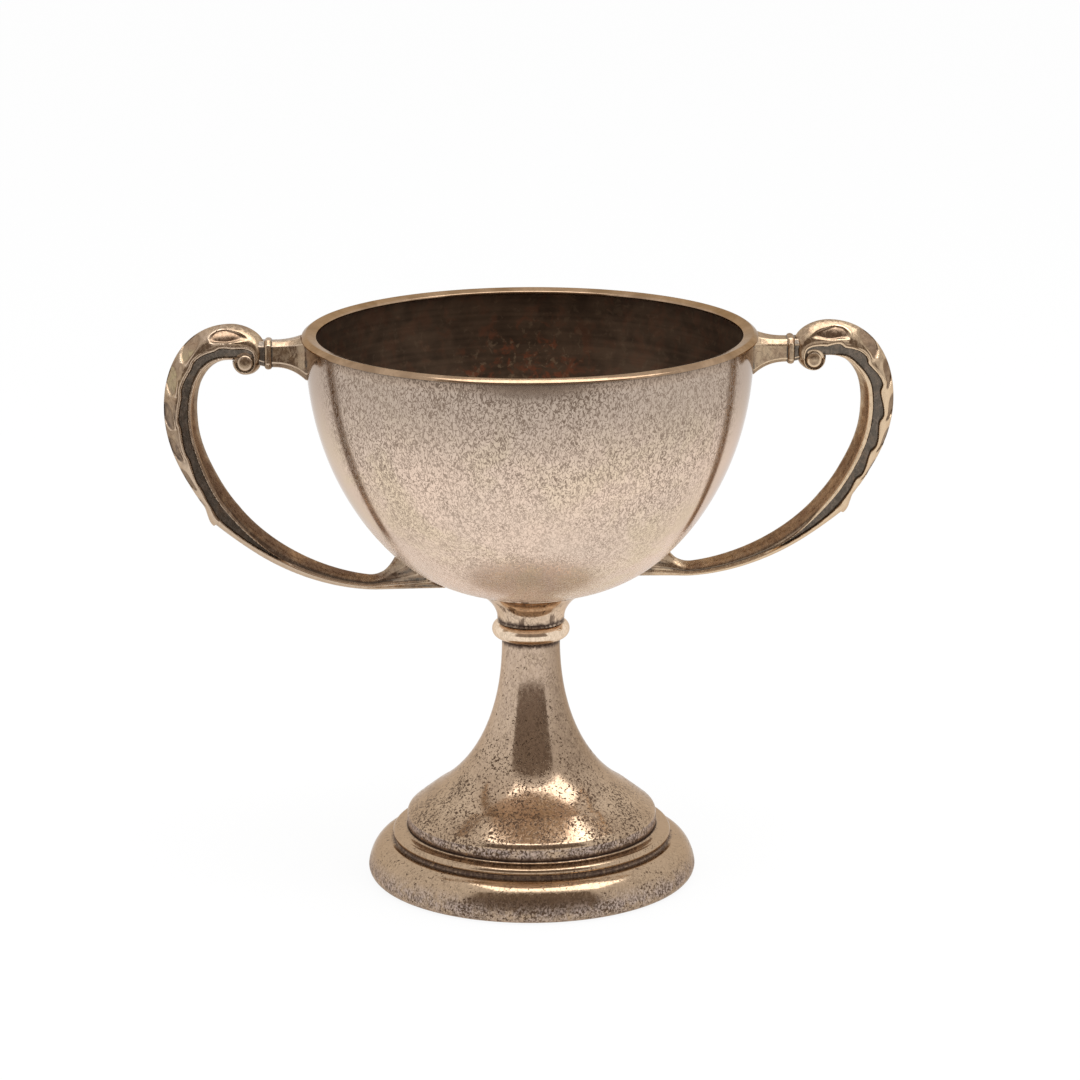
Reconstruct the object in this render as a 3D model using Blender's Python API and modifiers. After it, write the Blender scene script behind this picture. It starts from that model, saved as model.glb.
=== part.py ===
"""Two-handled trophy cup of silver-plated metal.

A spun bowl with an applied rim wire stands on a flared collet, a ring knop, a trumpet stem and a stepped
foot. A stud under the bowl runs down through them to a bridge washer and nut inside the stem. Two cast
scroll handles are soldered to the bowl. Nothing on the cup moves.

Metres, +Z up. The foot rests on z = 0, the cup's axis is the Z axis and the handles lie along X.
"""

from math import acos, atan2, cos, pi, radians, sin, sqrt

import bpy
import bmesh
from mathutils import Vector

GAP = 0.0003                       # clearance that pieces keep where they meet
MERGE_DISTANCE = 0.00001           # points on the axis this close become one
COLLECTION = "trophy_cup"

# Foot: a stepped base, spun from sheet, with its bottom edge turned in
FOOT_RADIUS = 0.0355
FOOT_HEIGHT = 0.0114
FOOT_WALL = 0.0011
FOOT_REST_WIDTH = 0.0030           # width of the flat ring that the cup stands on
FOOT_TOE = 0.0022                  # height of the rounded bottom edge
FOOT_SHOULDER_HEIGHT = 0.0082
FOOT_SHOULDER_RADIUS = 0.0309
FOOT_BEAD_RADIUS = 0.03005
FOOT_BEAD_HEIGHT = 0.00995
FOOT_BEAD_SIZE = 0.00115
FOOT_LEDGE = 0.0008                # how far the top ledge stands out past the stem's lip
FOOT_LEDGE_INSIDE = 0.0001         # and how far it reaches in past the stem's wall

# Stem: a trumpet with a domed lower end and an upright lip
STEM_LIP_RADIUS = 0.0270
STEM_LIP_HEIGHT = 0.0023
STEM_TOP_RADIUS = 0.00625
STEM_LENGTH = 0.0408
STEM_WALL = 0.0011
STEM_TOP_WEB = 0.0012
STEM_DOME_RADIUS = 0.0215          # where the hollow curve turns over into the dome
STEM_DOME_HEIGHT = 0.0071          # of that turn, above the lip's lower edge
STEM_DOME_SLOPE = radians(33)

# Knop: a turned ring between stem and collet
KNOP_RADIUS = 0.00835
KNOP_HEIGHT = 0.0043
KNOP_NECK_RADIUS = 0.0071

# Collet: the flared seat under the bowl
COLLET_TOP_RADIUS = 0.0125
COLLET_BASE_RADIUS = 0.0072
COLLET_HEIGHT = 0.0066
COLLET_WALL = 0.0009
COLLET_WEB = 0.0012

# Bowl: upright at the mouth, an elliptic side and a rounder bottom
BOWL_RADIUS = 0.0473
BOWL_WALL = 0.0012
BOWL_LIP = 0.0023                  # upright stretch below the rim wire
BOWL_SIDE_DROP = 0.0560            # depth that the side's ellipse would have if it ran on to the axis
BOWL_SIDE_END = radians(49.6)      # angle on that ellipse where the bottom's arc takes over
BOWL_BOTTOM_ARC = 0.0344

# Rim: flat half-round wire on the bowl's edge
RIM_WIDTH = 0.0037
RIM_THICKNESS = 0.0011
RIM_OVERHANG = 0.0009              # how far the wire stands out past the bowl

# Tie stud, bridge washer and nut
STUD_RADIUS = 0.0025
STUD_HEAD_RADIUS = 0.0070
STUD_HEAD_THICKNESS = 0.0015
STUD_TAIL = 0.0012                 # thread left below the nut
WASHER_THICKNESS = 0.0015
WASHER_DROP = 0.0192               # from the top of the stem to the top of the washer
NUT_ACROSS_FLATS = 0.0080
NUT_HEIGHT = 0.0040

# Handles, in the upright plane of each handle: out from the cup's axis, up from the socket's middle
HANDLE_LEAN = radians(5.0)         # each handle hangs askew by this much about its socket
SOCKET_DROP = 0.0044               # from the rim's top to the socket's middle
EYE_REACH = 0.0127                 # from the bowl's side to the eye of the scroll
EYE_DROP = 0.0017                  # of the eye below the socket's middle
EYE_RADIUS = 0.00175
EYE_HALF_LENGTH = 0.0036
VOLUTE_RADIUS = 0.0029             # of the scroll's curled end, measured straight below its eye
VOLUTE_SIDE_RADIUS = 0.0035        # towards the bowl
VOLUTE_TOP_RADIUS = 0.0074         # straight above the eye, where the curl runs into the crown
CROWN_OUT = 0.0030                 # of the bar's middle line past the eye, where it runs level
CROWN_RISE = 0.00455               # of that place above the eye
GRIP_OUT = 0.0139                  # farthest reach of the middle line past the eye
GRIP_DROP = 0.0098                 # of that place below the eye
GRIP_END_OUT = 0.0085              # where the grip has turned to run down and inwards
GRIP_END_DROP = 0.0266
GRIP_END_SLOPE = radians(59.4)
HANDLE_WIDTH = 0.00705             # of the bar, seen from the side, at the grip
CROWN_WIDTH = 0.0077               # beside the eye, where the inner edge starts lower
LEAF_END_WIDTH = 0.0058
ARM_WIDTH = 0.0060
ANKLE_WIDTH = 0.0031
HANDLE_DEPTH = 0.0066              # of the bar, seen from its edge
ANKLE_DEPTH = 0.0044
CHANNEL_DEPTH = 0.0006
LEAF_SHARE = 0.54                  # of the bar's length, from the crown to the spur
LEAF_LOBES = 8
LEAF_HOLLOW = 0.0005
SPUR_LENGTH = 0.0014
SPUR_OVERHANG = 0.0009
LANDING_RADIUS = 0.0236            # on the bowl, at the middle of the handle's foot
ANKLE_REACH = 0.0080               # from there out to the arm's thinnest place
ANKLE_DROP = 0.0019
PALM_REACH = 0.0065                # of the foot's two corners, along the bowl from its middle
PALM_DEPTH = 0.0085
PALM_FLUTE = 0.0006
ROOT_LENGTH = 0.0020               # of what runs on into the bowl before the handle is cut to it

# Socket: the collar and faceted neck that carry the handle's upper end
COLLAR_REACH = 0.0078              # from the bowl's side to the collar's middle
COLLAR_THICKNESS = 0.0015
COLLAR_HALF_HEIGHT = 0.0032
COLLAR_HALF_DEPTH = 0.0033
COLLAR_EDGE = 0.0003               # chamfer on the collar's edges
NECK_HALF_HEIGHT = 0.0029
NECK_HALF_DEPTH = 0.0029
NECK_FLARE_RISE = 0.0030           # above the socket's middle, at the bowl
NECK_FLARE_DROP = 0.0050           # below it, at the bowl
NECK_FLARE_HALF_DEPTH = 0.0040
NECK_FLANGE_LENGTH = 0.0014
NECK_FLANGE_STEP = 0.0004
NECK_CHAMFER = 0.0011

# Facets
BOWL_STEPS = 48
FOOT_STEPS = 40
STEM_STEPS = 32
SMALL_STEPS = 28
STUD_STEPS = 16
EYE_STEPS = 16
SHARP_EDGE = radians(35)           # faces that meet at more than this keep a sharp edge

# Heights, stacked up from the table
STEM_BASE_Z = FOOT_HEIGHT + GAP
STEM_TOP_Z = STEM_BASE_Z + STEM_LENGTH
KNOP_BASE_Z = STEM_TOP_Z + GAP
KNOP_TOP_Z = KNOP_BASE_Z + KNOP_HEIGHT
COLLET_BASE_Z = KNOP_TOP_Z + GAP
COLLET_TOP_Z = COLLET_BASE_Z + COLLET_HEIGHT


def cubic(start, leave, arrive, end, count):
    """Points along a cubic curve, without its start."""
    points = []
    for step in range(1, count + 1):
        t = step / count
        s = 1 - t
        weights = (s * s * s, 3 * s * s * t, 3 * s * t * t, t * t * t)
        corners = (start, leave, arrive, end)
        points.append(tuple(sum(w * c[axis] for w, c in zip(weights, corners)) for axis in (0, 1)))
    return points


def arc(centre, radius, first, last, count):
    """Points on a circular arc, both ends included."""
    points = []
    for step in range(count + 1):
        angle = first + (last - first) * step / count
        points.append((centre[0] + radius * cos(angle), centre[1] + radius * sin(angle)))
    return points


def offset_line(points, distance):
    """The line moved to its right-hand side by a distance, point by point."""
    moved = []
    last = len(points) - 1
    for i, point in enumerate(points):
        before = points[max(i - 1, 0)]
        after = points[min(i + 1, last)]
        along = Vector((after[0] - before[0], after[1] - before[1])).normalized()
        moved.append((point[0] + along.y * distance, point[1] - along.x * distance))
    return moved


def bowl_side_line():
    """Outer outline of the bowl from its edge down to the axis, from its bottom at height 0."""
    side_count = 7
    side = []
    for step in range(side_count + 1):
        angle = BOWL_SIDE_END * step / side_count
        side.append((BOWL_RADIUS * cos(angle), -BOWL_SIDE_DROP * sin(angle)))
    slope = atan2(BOWL_SIDE_DROP * cos(BOWL_SIDE_END), BOWL_RADIUS * sin(BOWL_SIDE_END))
    join_radius, join_z = side[-1]
    centre = (join_radius - BOWL_BOTTOM_ARC * sin(slope), join_z + BOWL_BOTTOM_ARC * cos(slope))
    last = -acos(max(-centre[0] / BOWL_BOTTOM_ARC, 0.0))
    bottom = arc(centre, BOWL_BOTTOM_ARC, slope - pi / 2, last, 5)[1:]
    lowest = bottom[-1][1]
    line = [(BOWL_RADIUS, BOWL_LIP)] + side + bottom
    if bottom[-1][0] > GAP:
        line.append((0.0, lowest))
    return [(radius, z - lowest) for radius, z in line]


BOWL_LINE = bowl_side_line()


def bowl_rise(radius):
    """Height of the bowl's outer side above its bottom, at a radius."""
    for (r1, z1), (r2, z2) in zip(BOWL_LINE, BOWL_LINE[1:]):
        if r2 <= radius <= r1 and r1 > r2:
            return z1 + (z2 - z1) * (r1 - radius) / (r1 - r2)
    return BOWL_LINE[-1][1]


BOWL_BASE_Z = COLLET_TOP_Z + GAP - bowl_rise(COLLET_TOP_RADIUS)
BOWL_TOP_Z = BOWL_BASE_Z + BOWL_LINE[0][1]
RIM_TOP_Z = BOWL_TOP_Z + GAP + RIM_THICKNESS
SOCKET_Z = RIM_TOP_Z - SOCKET_DROP


def make_collection(name):
    collection = bpy.data.collections.new(name)
    bpy.context.scene.collection.children.link(collection)
    return collection


def make_material(name, colour, roughness, metallic=1.0):
    material = bpy.data.materials.new(name)
    material.use_nodes = True
    shader = material.node_tree.nodes["Principled BSDF"]
    shader.inputs["Base Color"].default_value = (*colour, 1.0)
    shader.inputs["Roughness"].default_value = roughness
    shader.inputs["Metallic"].default_value = metallic
    material.diffuse_color = (*colour, 1.0)
    return material


def smooth_rounds(mesh):
    mesh.shade_smooth()
    mesh.set_sharp_from_angle(angle=SHARP_EDGE)


def turned(name, outline, steps, collection, closed):
    """A shape turned about Z from an outline that runs down its outer side."""
    mesh = bpy.data.meshes.new(name)
    count = len(outline)
    edges = [(i, i + 1) for i in range(count - 1)]
    if closed:
        edges.append((count - 1, 0))
    mesh.from_pydata([(radius, 0.0, z) for radius, z in outline], edges, [])
    obj = bpy.data.objects.new(name, mesh)
    collection.objects.link(obj)
    screw = obj.modifiers.new("Turn", "SCREW")
    screw.angle = 2 * pi
    screw.steps = steps
    screw.render_steps = steps
    screw.use_merge_vertices = True
    screw.merge_threshold = MERGE_DISTANCE
    screw.use_smooth_shade = True
    return obj


def lofted_mesh(name, rings):
    """A closed skin over a row of rings with the same number of points, flat at both ends."""
    work = bmesh.new()
    rows = [[work.verts.new(point) for point in ring] for ring in rings]
    size = len(rows[0])
    for row, after in zip(rows, rows[1:]):
        for i in range(size):
            j = (i + 1) % size
            work.faces.new((row[i], row[j], after[j], after[i]))
    work.faces.new(list(reversed(rows[0])))
    work.faces.new(rows[-1])
    bmesh.ops.recalc_face_normals(work, faces=work.faces)
    mesh = bpy.data.meshes.new(name)
    work.to_mesh(mesh)
    work.free()
    return mesh


def add_boolean(obj, other, operation):
    cut = obj.modifiers.new(operation.title(), "BOOLEAN")
    cut.operation = operation
    cut.solver = "EXACT"
    cut.object = other


def foot_outline():
    shoulder = (FOOT_SHOULDER_RADIUS, FOOT_SHOULDER_HEIGHT)
    toe = (FOOT_RADIUS, FOOT_TOE)
    width = FOOT_RADIUS - FOOT_SHOULDER_RADIUS
    drop = FOOT_SHOULDER_HEIGHT - FOOT_TOE
    flank = cubic(shoulder, (shoulder[0] + 0.58 * width, shoulder[1] - 0.03 * drop),
                  (toe[0] - 0.07 * width, toe[1] + 0.47 * drop), toe, 5)
    rest_radius = FOOT_RADIUS - 0.85 * FOOT_TOE
    toe_pull = 0.4 * FOOT_TOE
    toe_round = cubic(toe, (FOOT_RADIUS, toe_pull), (rest_radius + toe_pull, 0.0), (rest_radius, 0.0), 2)
    bead_centre = (FOOT_BEAD_RADIUS - FOOT_BEAD_SIZE, FOOT_BEAD_HEIGHT)
    bead = arc(bead_centre, FOOT_BEAD_SIZE, radians(60), radians(-55), 3)
    groove = (FOOT_SHOULDER_RADIUS - FOOT_BEAD_SIZE, FOOT_SHOULDER_HEIGHT - 0.2 * FOOT_BEAD_SIZE)
    ledge_radius = STEM_LIP_RADIUS + FOOT_LEDGE
    inner_radius = STEM_LIP_RADIUS - STEM_WALL - FOOT_LEDGE_INSIDE
    inner_edge = rest_radius - FOOT_REST_WIDTH
    outer_side = [(inner_radius, FOOT_HEIGHT), (ledge_radius, FOOT_HEIGHT)] + bead
    outer_side += [groove, shoulder] + flank + toe_round
    hollow = [(inner_edge, 0.0), (inner_edge, FOOT_WALL), (toe[0] - 2 * FOOT_WALL, FOOT_WALL)]
    hollow += list(reversed(offset_line([shoulder] + flank, FOOT_WALL)))[::2]
    hollow += [(bead_centre[0] - FOOT_WALL, FOOT_SHOULDER_HEIGHT - FOOT_WALL)]
    hollow += [(inner_radius, FOOT_HEIGHT - FOOT_WALL)]
    return outer_side + hollow


def stem_side_line():
    """The trumpet's outer side from its top to the lip's upper edge."""
    top = (STEM_TOP_RADIUS, STEM_TOP_Z)
    turn = (STEM_DOME_RADIUS, STEM_BASE_Z + STEM_DOME_HEIGHT)
    lip = (STEM_LIP_RADIUS, STEM_BASE_Z + STEM_LIP_HEIGHT)
    run = Vector((cos(STEM_DOME_SLOPE), -sin(STEM_DOME_SLOPE)))
    bell_pull = 0.77 * (top[1] - turn[1])
    turn_pull = 0.09 * (turn[0] - top[0]) * run
    bell = cubic(top, (top[0], top[1] - bell_pull), (turn[0] - turn_pull.x, turn[1] - turn_pull.y), turn, 8)
    dome_pull = 0.47 * (lip[0] - turn[0]) * run
    lip_pull = 0.18 * (turn[1] - lip[1])
    dome = cubic(turn, (turn[0] + dome_pull.x, turn[1] + dome_pull.y), (lip[0], lip[1] + lip_pull), lip, 3)
    return [top] + bell + dome


STEM_LINE = stem_side_line()


def stem_outline():
    inner_side = offset_line(STEM_LINE, STEM_WALL)
    hole = STUD_RADIUS + GAP
    web_z = STEM_TOP_Z - STEM_TOP_WEB
    outer_side = [(hole, STEM_TOP_Z)] + STEM_LINE + [(STEM_LIP_RADIUS, STEM_BASE_Z)]
    inner_lip = STEM_LIP_RADIUS - STEM_WALL
    hollow = [(inner_lip, STEM_BASE_Z)] + [point for point in reversed(inner_side[1:]) if point[1] < web_z]
    return outer_side + hollow + [(STEM_TOP_RADIUS - STEM_WALL, web_z), (hole, web_z)]


def stem_bore_radius(z):
    """Inside radius of the stem at a height."""
    inner_side = offset_line(STEM_LINE, STEM_WALL)
    for (r1, z1), (r2, z2) in zip(inner_side, inner_side[1:]):
        if z2 <= z <= z1:
            return r1 + (r2 - r1) * (z1 - z) / (z1 - z2)
    return inner_side[0][0]


def knop_outline():
    middle = (KNOP_BASE_Z + KNOP_TOP_Z) / 2
    hole = STUD_RADIUS + GAP
    end_angle = radians(75)
    swell_half = 0.4 * KNOP_HEIGHT
    swell_count = 5
    swell = []
    for step in range(swell_count + 1):
        angle = end_angle - 2 * end_angle * step / swell_count
        bulge = (cos(angle) - cos(end_angle)) / (1 - cos(end_angle))
        radius = KNOP_NECK_RADIUS + (KNOP_RADIUS - KNOP_NECK_RADIUS) * bulge
        swell.append((radius, middle + swell_half * sin(angle) / sin(end_angle)))
    top = [(hole, KNOP_TOP_Z), (COLLET_BASE_RADIUS - COLLET_WALL / 2, KNOP_TOP_Z)]
    bottom = [(STEM_TOP_RADIUS, KNOP_BASE_Z), (hole, KNOP_BASE_Z)]
    return top + swell + bottom


def collet_outline():
    base = (COLLET_BASE_RADIUS, COLLET_BASE_Z)
    edge = (COLLET_TOP_RADIUS, COLLET_TOP_Z)
    spread = edge[0] - base[0]
    flare = cubic(edge, (edge[0] - 0.55 * spread, edge[1] - 0.24 * COLLET_HEIGHT),
                  (base[0], base[1] + 0.42 * COLLET_HEIGHT), base, 5)
    inner_side = offset_line([edge] + flare, COLLET_WALL)
    hole = STUD_RADIUS + GAP
    web_z = COLLET_BASE_Z + COLLET_WEB
    hollow = [(hole, COLLET_BASE_Z), (hole, web_z), (COLLET_BASE_RADIUS - COLLET_WALL, web_z)]
    hollow += [point for point in reversed(inner_side[1:-1]) if point[1] > web_z]
    seat_radius = COLLET_TOP_RADIUS - COLLET_WALL
    seat_rise = bowl_rise(seat_radius) - bowl_rise(COLLET_TOP_RADIUS)
    return [edge] + flare + hollow + [(seat_radius, COLLET_TOP_Z + seat_rise)]


def rim_outline():
    outer = BOWL_RADIUS + RIM_OVERHANG
    middle = outer - RIM_WIDTH / 2
    flat_z = RIM_TOP_Z - RIM_THICKNESS
    edge = 0.25 * RIM_THICKNESS
    crown_count = 5
    crown = []
    for step in range(crown_count + 1):
        angle = pi * step / crown_count
        height = edge + (RIM_THICKNESS - edge) * sin(angle)
        crown.append((middle - RIM_WIDTH / 2 * cos(angle), flat_z + height))
    return crown + [(outer - edge, flat_z), (outer - RIM_WIDTH + edge, flat_z)]


def stud_outline():
    head_top = BOWL_BASE_Z - GAP
    head_bottom = head_top - STUD_HEAD_THICKNESS
    tail_z = nut_base_z() - STUD_TAIL
    return [(0.0, head_top), (STUD_HEAD_RADIUS, head_top), (STUD_HEAD_RADIUS, head_bottom),
            (STUD_RADIUS, head_bottom), (STUD_RADIUS, tail_z), (0.0, tail_z)]


def washer_base_z():
    return STEM_TOP_Z - WASHER_DROP - WASHER_THICKNESS


def nut_base_z():
    return washer_base_z() - GAP - NUT_HEIGHT


def washer_outline():
    top = washer_base_z() + WASHER_THICKNESS
    hole = STUD_RADIUS + GAP
    top_radius = stem_bore_radius(top) - GAP
    base_radius = stem_bore_radius(washer_base_z()) - GAP
    return [(hole, top), (top_radius, top), (base_radius, washer_base_z()), (hole, washer_base_z())]


def make_foot(collection):
    foot = turned("foot", foot_outline(), FOOT_STEPS, collection, closed=True)
    foot.data.materials.append(make_material("foot_plate", (0.45, 0.37, 0.28), 0.42))
    return foot


def make_stem(collection):
    stem = turned("stem", stem_outline(), STEM_STEPS, collection, closed=True)
    stem.data.materials.append(make_material("stem_plate", (0.48, 0.38, 0.28), 0.38))
    return stem


def make_knop(collection):
    knop = turned("knop", knop_outline(), SMALL_STEPS, collection, closed=True)
    knop.data.materials.append(make_material("knop_plate", (0.52, 0.40, 0.28), 0.35))
    return knop


def make_collet(collection):
    collet = turned("collet", collet_outline(), SMALL_STEPS, collection, closed=True)
    collet.data.materials.append(make_material("collet_plate", (0.52, 0.43, 0.33), 0.36))
    return collet


def make_bowl(collection):
    outline = [(radius, BOWL_BASE_Z + z) for radius, z in BOWL_LINE]
    bowl = turned("bowl", outline, BOWL_STEPS, collection, closed=False)
    wall = bowl.modifiers.new("Wall", "SOLIDIFY")
    wall.thickness = BOWL_WALL
    wall.offset = -1.0
    wall.use_even_offset = True
    bowl.data.materials.append(make_material("bowl_plate", (0.55, 0.47, 0.39), 0.36))
    return bowl


def make_rim_wire(collection):
    rim = turned("rim_wire", rim_outline(), BOWL_STEPS, collection, closed=True)
    rim.data.materials.append(make_material("rim_plate", (0.60, 0.47, 0.32), 0.25))
    return rim


def make_stud(collection):
    stud = turned("tie_stud", stud_outline(), STUD_STEPS, collection, closed=False)
    stud.data.materials.append(make_material("stud_brass", (0.40, 0.30, 0.15), 0.45))
    return stud


def make_washer(collection):
    washer = turned("bridge_washer", washer_outline(), SMALL_STEPS, collection, closed=True)
    washer.data.materials.append(make_material("washer_brass", (0.38, 0.29, 0.15), 0.50))
    return washer


def make_nut(collection, cutters):
    corner_radius = NUT_ACROSS_FLATS / sqrt(3)
    work = bmesh.new()
    bmesh.ops.create_cone(work, cap_ends=True, segments=6, radius1=corner_radius, radius2=corner_radius,
                          depth=NUT_HEIGHT)
    mesh = bpy.data.meshes.new("tie_nut")
    work.to_mesh(mesh)
    work.free()
    nut = bpy.data.objects.new("tie_nut", mesh)
    nut.location = (0.0, 0.0, nut_base_z() + NUT_HEIGHT / 2)
    collection.objects.link(nut)
    mesh.materials.append(make_material("nut_brass", (0.42, 0.32, 0.17), 0.45))
    bore_radius = STUD_RADIUS + GAP
    above = nut_base_z() + 2 * NUT_HEIGHT
    below = nut_base_z() - NUT_HEIGHT
    bore_outline = [(0.0, above), (bore_radius, above), (bore_radius, below), (0.0, below)]
    bore = turned("nut_bore", bore_outline, STUD_STEPS, cutters, closed=False)
    as_guide(bore)
    add_boolean(nut, bore, "DIFFERENCE")
    return nut


def blend(first, last, share):
    share = min(max(share, 0.0), 1.0)
    return first + (last - first) * share


def ease(share):
    """A share from 0 to 1 that starts and ends level."""
    share = min(max(share, 0.0), 1.0)
    return share * share * (3 - 2 * share)


def volute_radius(angle):
    """Outer radius of the scroll's curled end about its eye, by the angle turned from straight down."""
    if angle < pi / 2:
        return blend(VOLUTE_RADIUS, VOLUTE_SIDE_RADIUS, ease(angle / (pi / 2)))
    turned_past_side = angle / (pi / 2) - 1
    return blend(VOLUTE_SIDE_RADIUS, VOLUTE_TOP_RADIUS, turned_past_side * (1.3 - 0.3 * turned_past_side))


def eye_point():
    """Eye of the scroll: out from the cup's axis, and height above the table."""
    return Vector((BOWL_RADIUS + EYE_REACH, SOCKET_Z - EYE_DROP))


def landing():
    """Middle of the handle's foot on the bowl, with the directions along and into the bowl there."""
    step = 0.0005
    height = bowl_rise(LANDING_RADIUS)
    rise = bowl_rise(LANDING_RADIUS + step) - height
    along = Vector((step, rise)).normalized()
    return Vector((LANDING_RADIUS, BOWL_BASE_Z + height)), along, Vector((-along.y, along.x))


def middle_line():
    """The bar's middle line from the crown over the grip to the ankle above the foot."""
    eye = eye_point()
    crown = eye + Vector((CROWN_OUT, CROWN_RISE))
    grip = eye + Vector((GRIP_OUT, -GRIP_DROP))
    grip_end = eye + Vector((GRIP_END_OUT, -GRIP_END_DROP))
    ankle = landing()[0] + Vector((ANKLE_REACH, -ANKLE_DROP))
    run = Vector((-cos(GRIP_END_SLOPE), -sin(GRIP_END_SLOPE)))
    crown_pull = Vector((0.66 * (grip.x - crown.x), 0.0))
    upper_pull = Vector((0.0, 0.53 * (crown.y - grip.y)))
    lower_pull = Vector((0.0, 0.35 * (grip.y - grip_end.y)))
    turn_pull = 0.44 * (grip.y - grip_end.y) * run
    arm_pull = 0.40 * (grip_end - ankle).length * run
    ankle_pull = Vector((0.27 * (grip_end - ankle).length, 0.0))
    points = [crown]
    points += cubic(crown, crown + crown_pull, grip + upper_pull, grip, 30)
    points += cubic(grip, grip - lower_pull, grip_end - turn_pull, grip_end, 30)
    points += cubic(grip_end, grip_end + arm_pull, ankle + ankle_pull, ankle, 40)
    return [Vector(point) for point in points]


def line_length(points):
    return sum((after - here).length for here, after in zip(points, points[1:]))


def walk(points, distance):
    """Place, direction and outward direction at a distance along a line."""
    left = distance
    for here, after in zip(points, points[1:]):
        length = (after - here).length
        along = (after - here) / length
        if left <= length:
            return here + along * left, along, Vector((-along.y, along.x))
        left -= length
    return points[-1], along, Vector((-along.y, along.x))


# Half of the bar's section, from its inner edge (place 0) to its outer edge (place 1). Each point has its
# place, its share of the half depth, and how much of the channel, leaf hollow, flute and scallop it takes.
BAR_SECTION = (
    (0.04, 0.26, 0.0, 0.0, 0.0, 0.0),
    (0.27, 0.90, 0.0, 0.0, 0.0, 0.0),
    (0.33, 0.90, 1.0, 0.0, 0.4, 0.0),
    (0.45, 0.89, 1.0, 0.0, 1.0, 0.0),
    (0.56, 0.94, 1.0, 0.0, 0.4, 1.0),
    (0.62, 1.00, 0.0, 0.0, 0.0, 1.0),
    (0.75, 0.84, 0.0, 1.0, 0.8, 0.0),
    (0.88, 0.56, 0.0, 1.0, 0.8, 0.0),
    (0.98, 0.16, 0.0, 0.0, 0.0, 0.0),
)
LEAF_BORDER = 0.6                  # place across the bar where the leaf begins
SCALLOP = 0.06                     # how far the leaf's border moves between two lobes, as a place


def bar_ring(inner, outer, depth, channel=0.0, hollow=0.0, flute=0.0, scallop=0.0, overhang=Vector((0, 0))):
    """One cross-section of the bar between its inner and outer edges, as points in the handle's own frame."""
    side = []
    for place, share, in_channel, in_hollow, in_flute, in_scallop in BAR_SECTION:
        reach = share * depth / 2 - in_channel * channel - in_hollow * hollow - in_flute * flute
        side.append((place + in_scallop * scallop, reach))
    whole = [(0.0, 0.0)] + side + [(1.0, 0.0)] + [(place, -reach) for place, reach in reversed(side)]
    ring = []
    for place, reach in whole:
        beyond = max(0.0, (place - LEAF_BORDER) / (1 - LEAF_BORDER))
        point = inner + (outer - inner) * place + overhang * beyond
        ring.append((point.x, reach, point.y - SOCKET_Z))
    return ring


def volute_rings():
    """The curled end, from its tip round under the eye and up to the crown."""
    eye = eye_point()
    first = radians(-95)
    last = radians(168)
    count = 11
    rings = []
    for step in range(count + 1):
        angle = first + (last - first) * step / count
        direction = Vector((-sin(angle), -cos(angle)))
        inner = eye + direction * EYE_RADIUS / 2
        outer = eye + direction * volute_radius(angle)
        rings.append(bar_ring(inner, outer, HANDLE_DEPTH, channel=CHANNEL_DEPTH))
    return rings


def leaf_rings():
    """The bar from the crown down to the spur, with leaf hollows in lobes on its outer side."""
    line = middle_line()
    spur = LEAF_SHARE * line_length(line)
    lobe = spur / (LEAF_LOBES + 0.5)
    stations = 4
    first_lobe = spur - lobe * (LEAF_LOBES - 1)
    places = [first_lobe * k / stations for k in range(stations)]
    places += [first_lobe + lobe * k / stations for k in range((LEAF_LOBES - 1) * stations + 1)]
    rings = []
    for k, place in enumerate(places):
        middle, along, outward = walk(line, place)
        share = place / spur
        half = blend(HANDLE_WIDTH, LEAF_END_WIDTH, 2 * share - 1) / 2
        inner_half = half + blend(CROWN_WIDTH - HANDLE_WIDTH, 0.0, share / 0.3)
        flare = max(0.0, 1 - (1 - share) / 0.12) ** 2
        swell = sin(pi * (k % stations) / stations)
        rings.append(bar_ring(middle - outward * inner_half, middle + outward * (half + SPUR_LENGTH * flare),
                              HANDLE_DEPTH, channel=CHANNEL_DEPTH, hollow=LEAF_HOLLOW * swell,
                              scallop=SCALLOP * (1 - swell), overhang=along * SPUR_OVERHANG * flare))
    return rings


def arm_rings():
    """The plain arm behind the spur, tapering to the ankle while its channel fades out."""
    line = middle_line()
    total = line_length(line)
    start = LEAF_SHARE * total + 0.05 * SPUR_LENGTH
    count = 9
    rings = []
    for k in range(count + 1):
        share = k / count
        middle, along, outward = walk(line, blend(start, total, share))
        taper = share ** 0.8
        outer_half = blend(ARM_WIDTH, ANKLE_WIDTH, taper) / 2
        inner_half = blend(LEAF_END_WIDTH, ANKLE_WIDTH, taper) / 2
        fade = max(0.0, 1 - 1.6 * share)
        rings.append(bar_ring(middle - outward * inner_half, middle + outward * outer_half,
                              blend(HANDLE_DEPTH, ANKLE_DEPTH, share), channel=CHANNEL_DEPTH * fade))
    return rings


def palm_rings():
    """The handle's foot: the ankle opens into a fluted palm that is cut to the bowl."""
    line = middle_line()
    ankle, along, outward = walk(line, line_length(line))
    land, along_bowl, into_bowl = landing()
    lower = land - along_bowl * PALM_REACH
    upper = land + along_bowl * PALM_REACH
    ankle_outer = ankle + outward * ANKLE_WIDTH / 2
    ankle_inner = ankle - outward * ANKLE_WIDTH / 2
    level_pull = Vector((0.55 * (upper.x - ankle_inner.x), 0.0))
    count = 4
    landing_pull = into_bowl * 0.35 * PALM_REACH
    upper_line = cubic(ankle_inner, ankle_inner + level_pull, upper - landing_pull, upper, count)
    rings = []
    for k in range(1, count + 1):
        share = k / count
        outer = ankle_outer + (lower - ankle_outer) * share
        rings.append(bar_ring(Vector(upper_line[k - 1]), outer, blend(ANKLE_DEPTH, PALM_DEPTH, share * share),
                              flute=PALM_FLUTE * share))
    root = into_bowl * ROOT_LENGTH
    rings.append(bar_ring(upper + root, lower + root, PALM_DEPTH, flute=PALM_FLUTE))
    return rings


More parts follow.
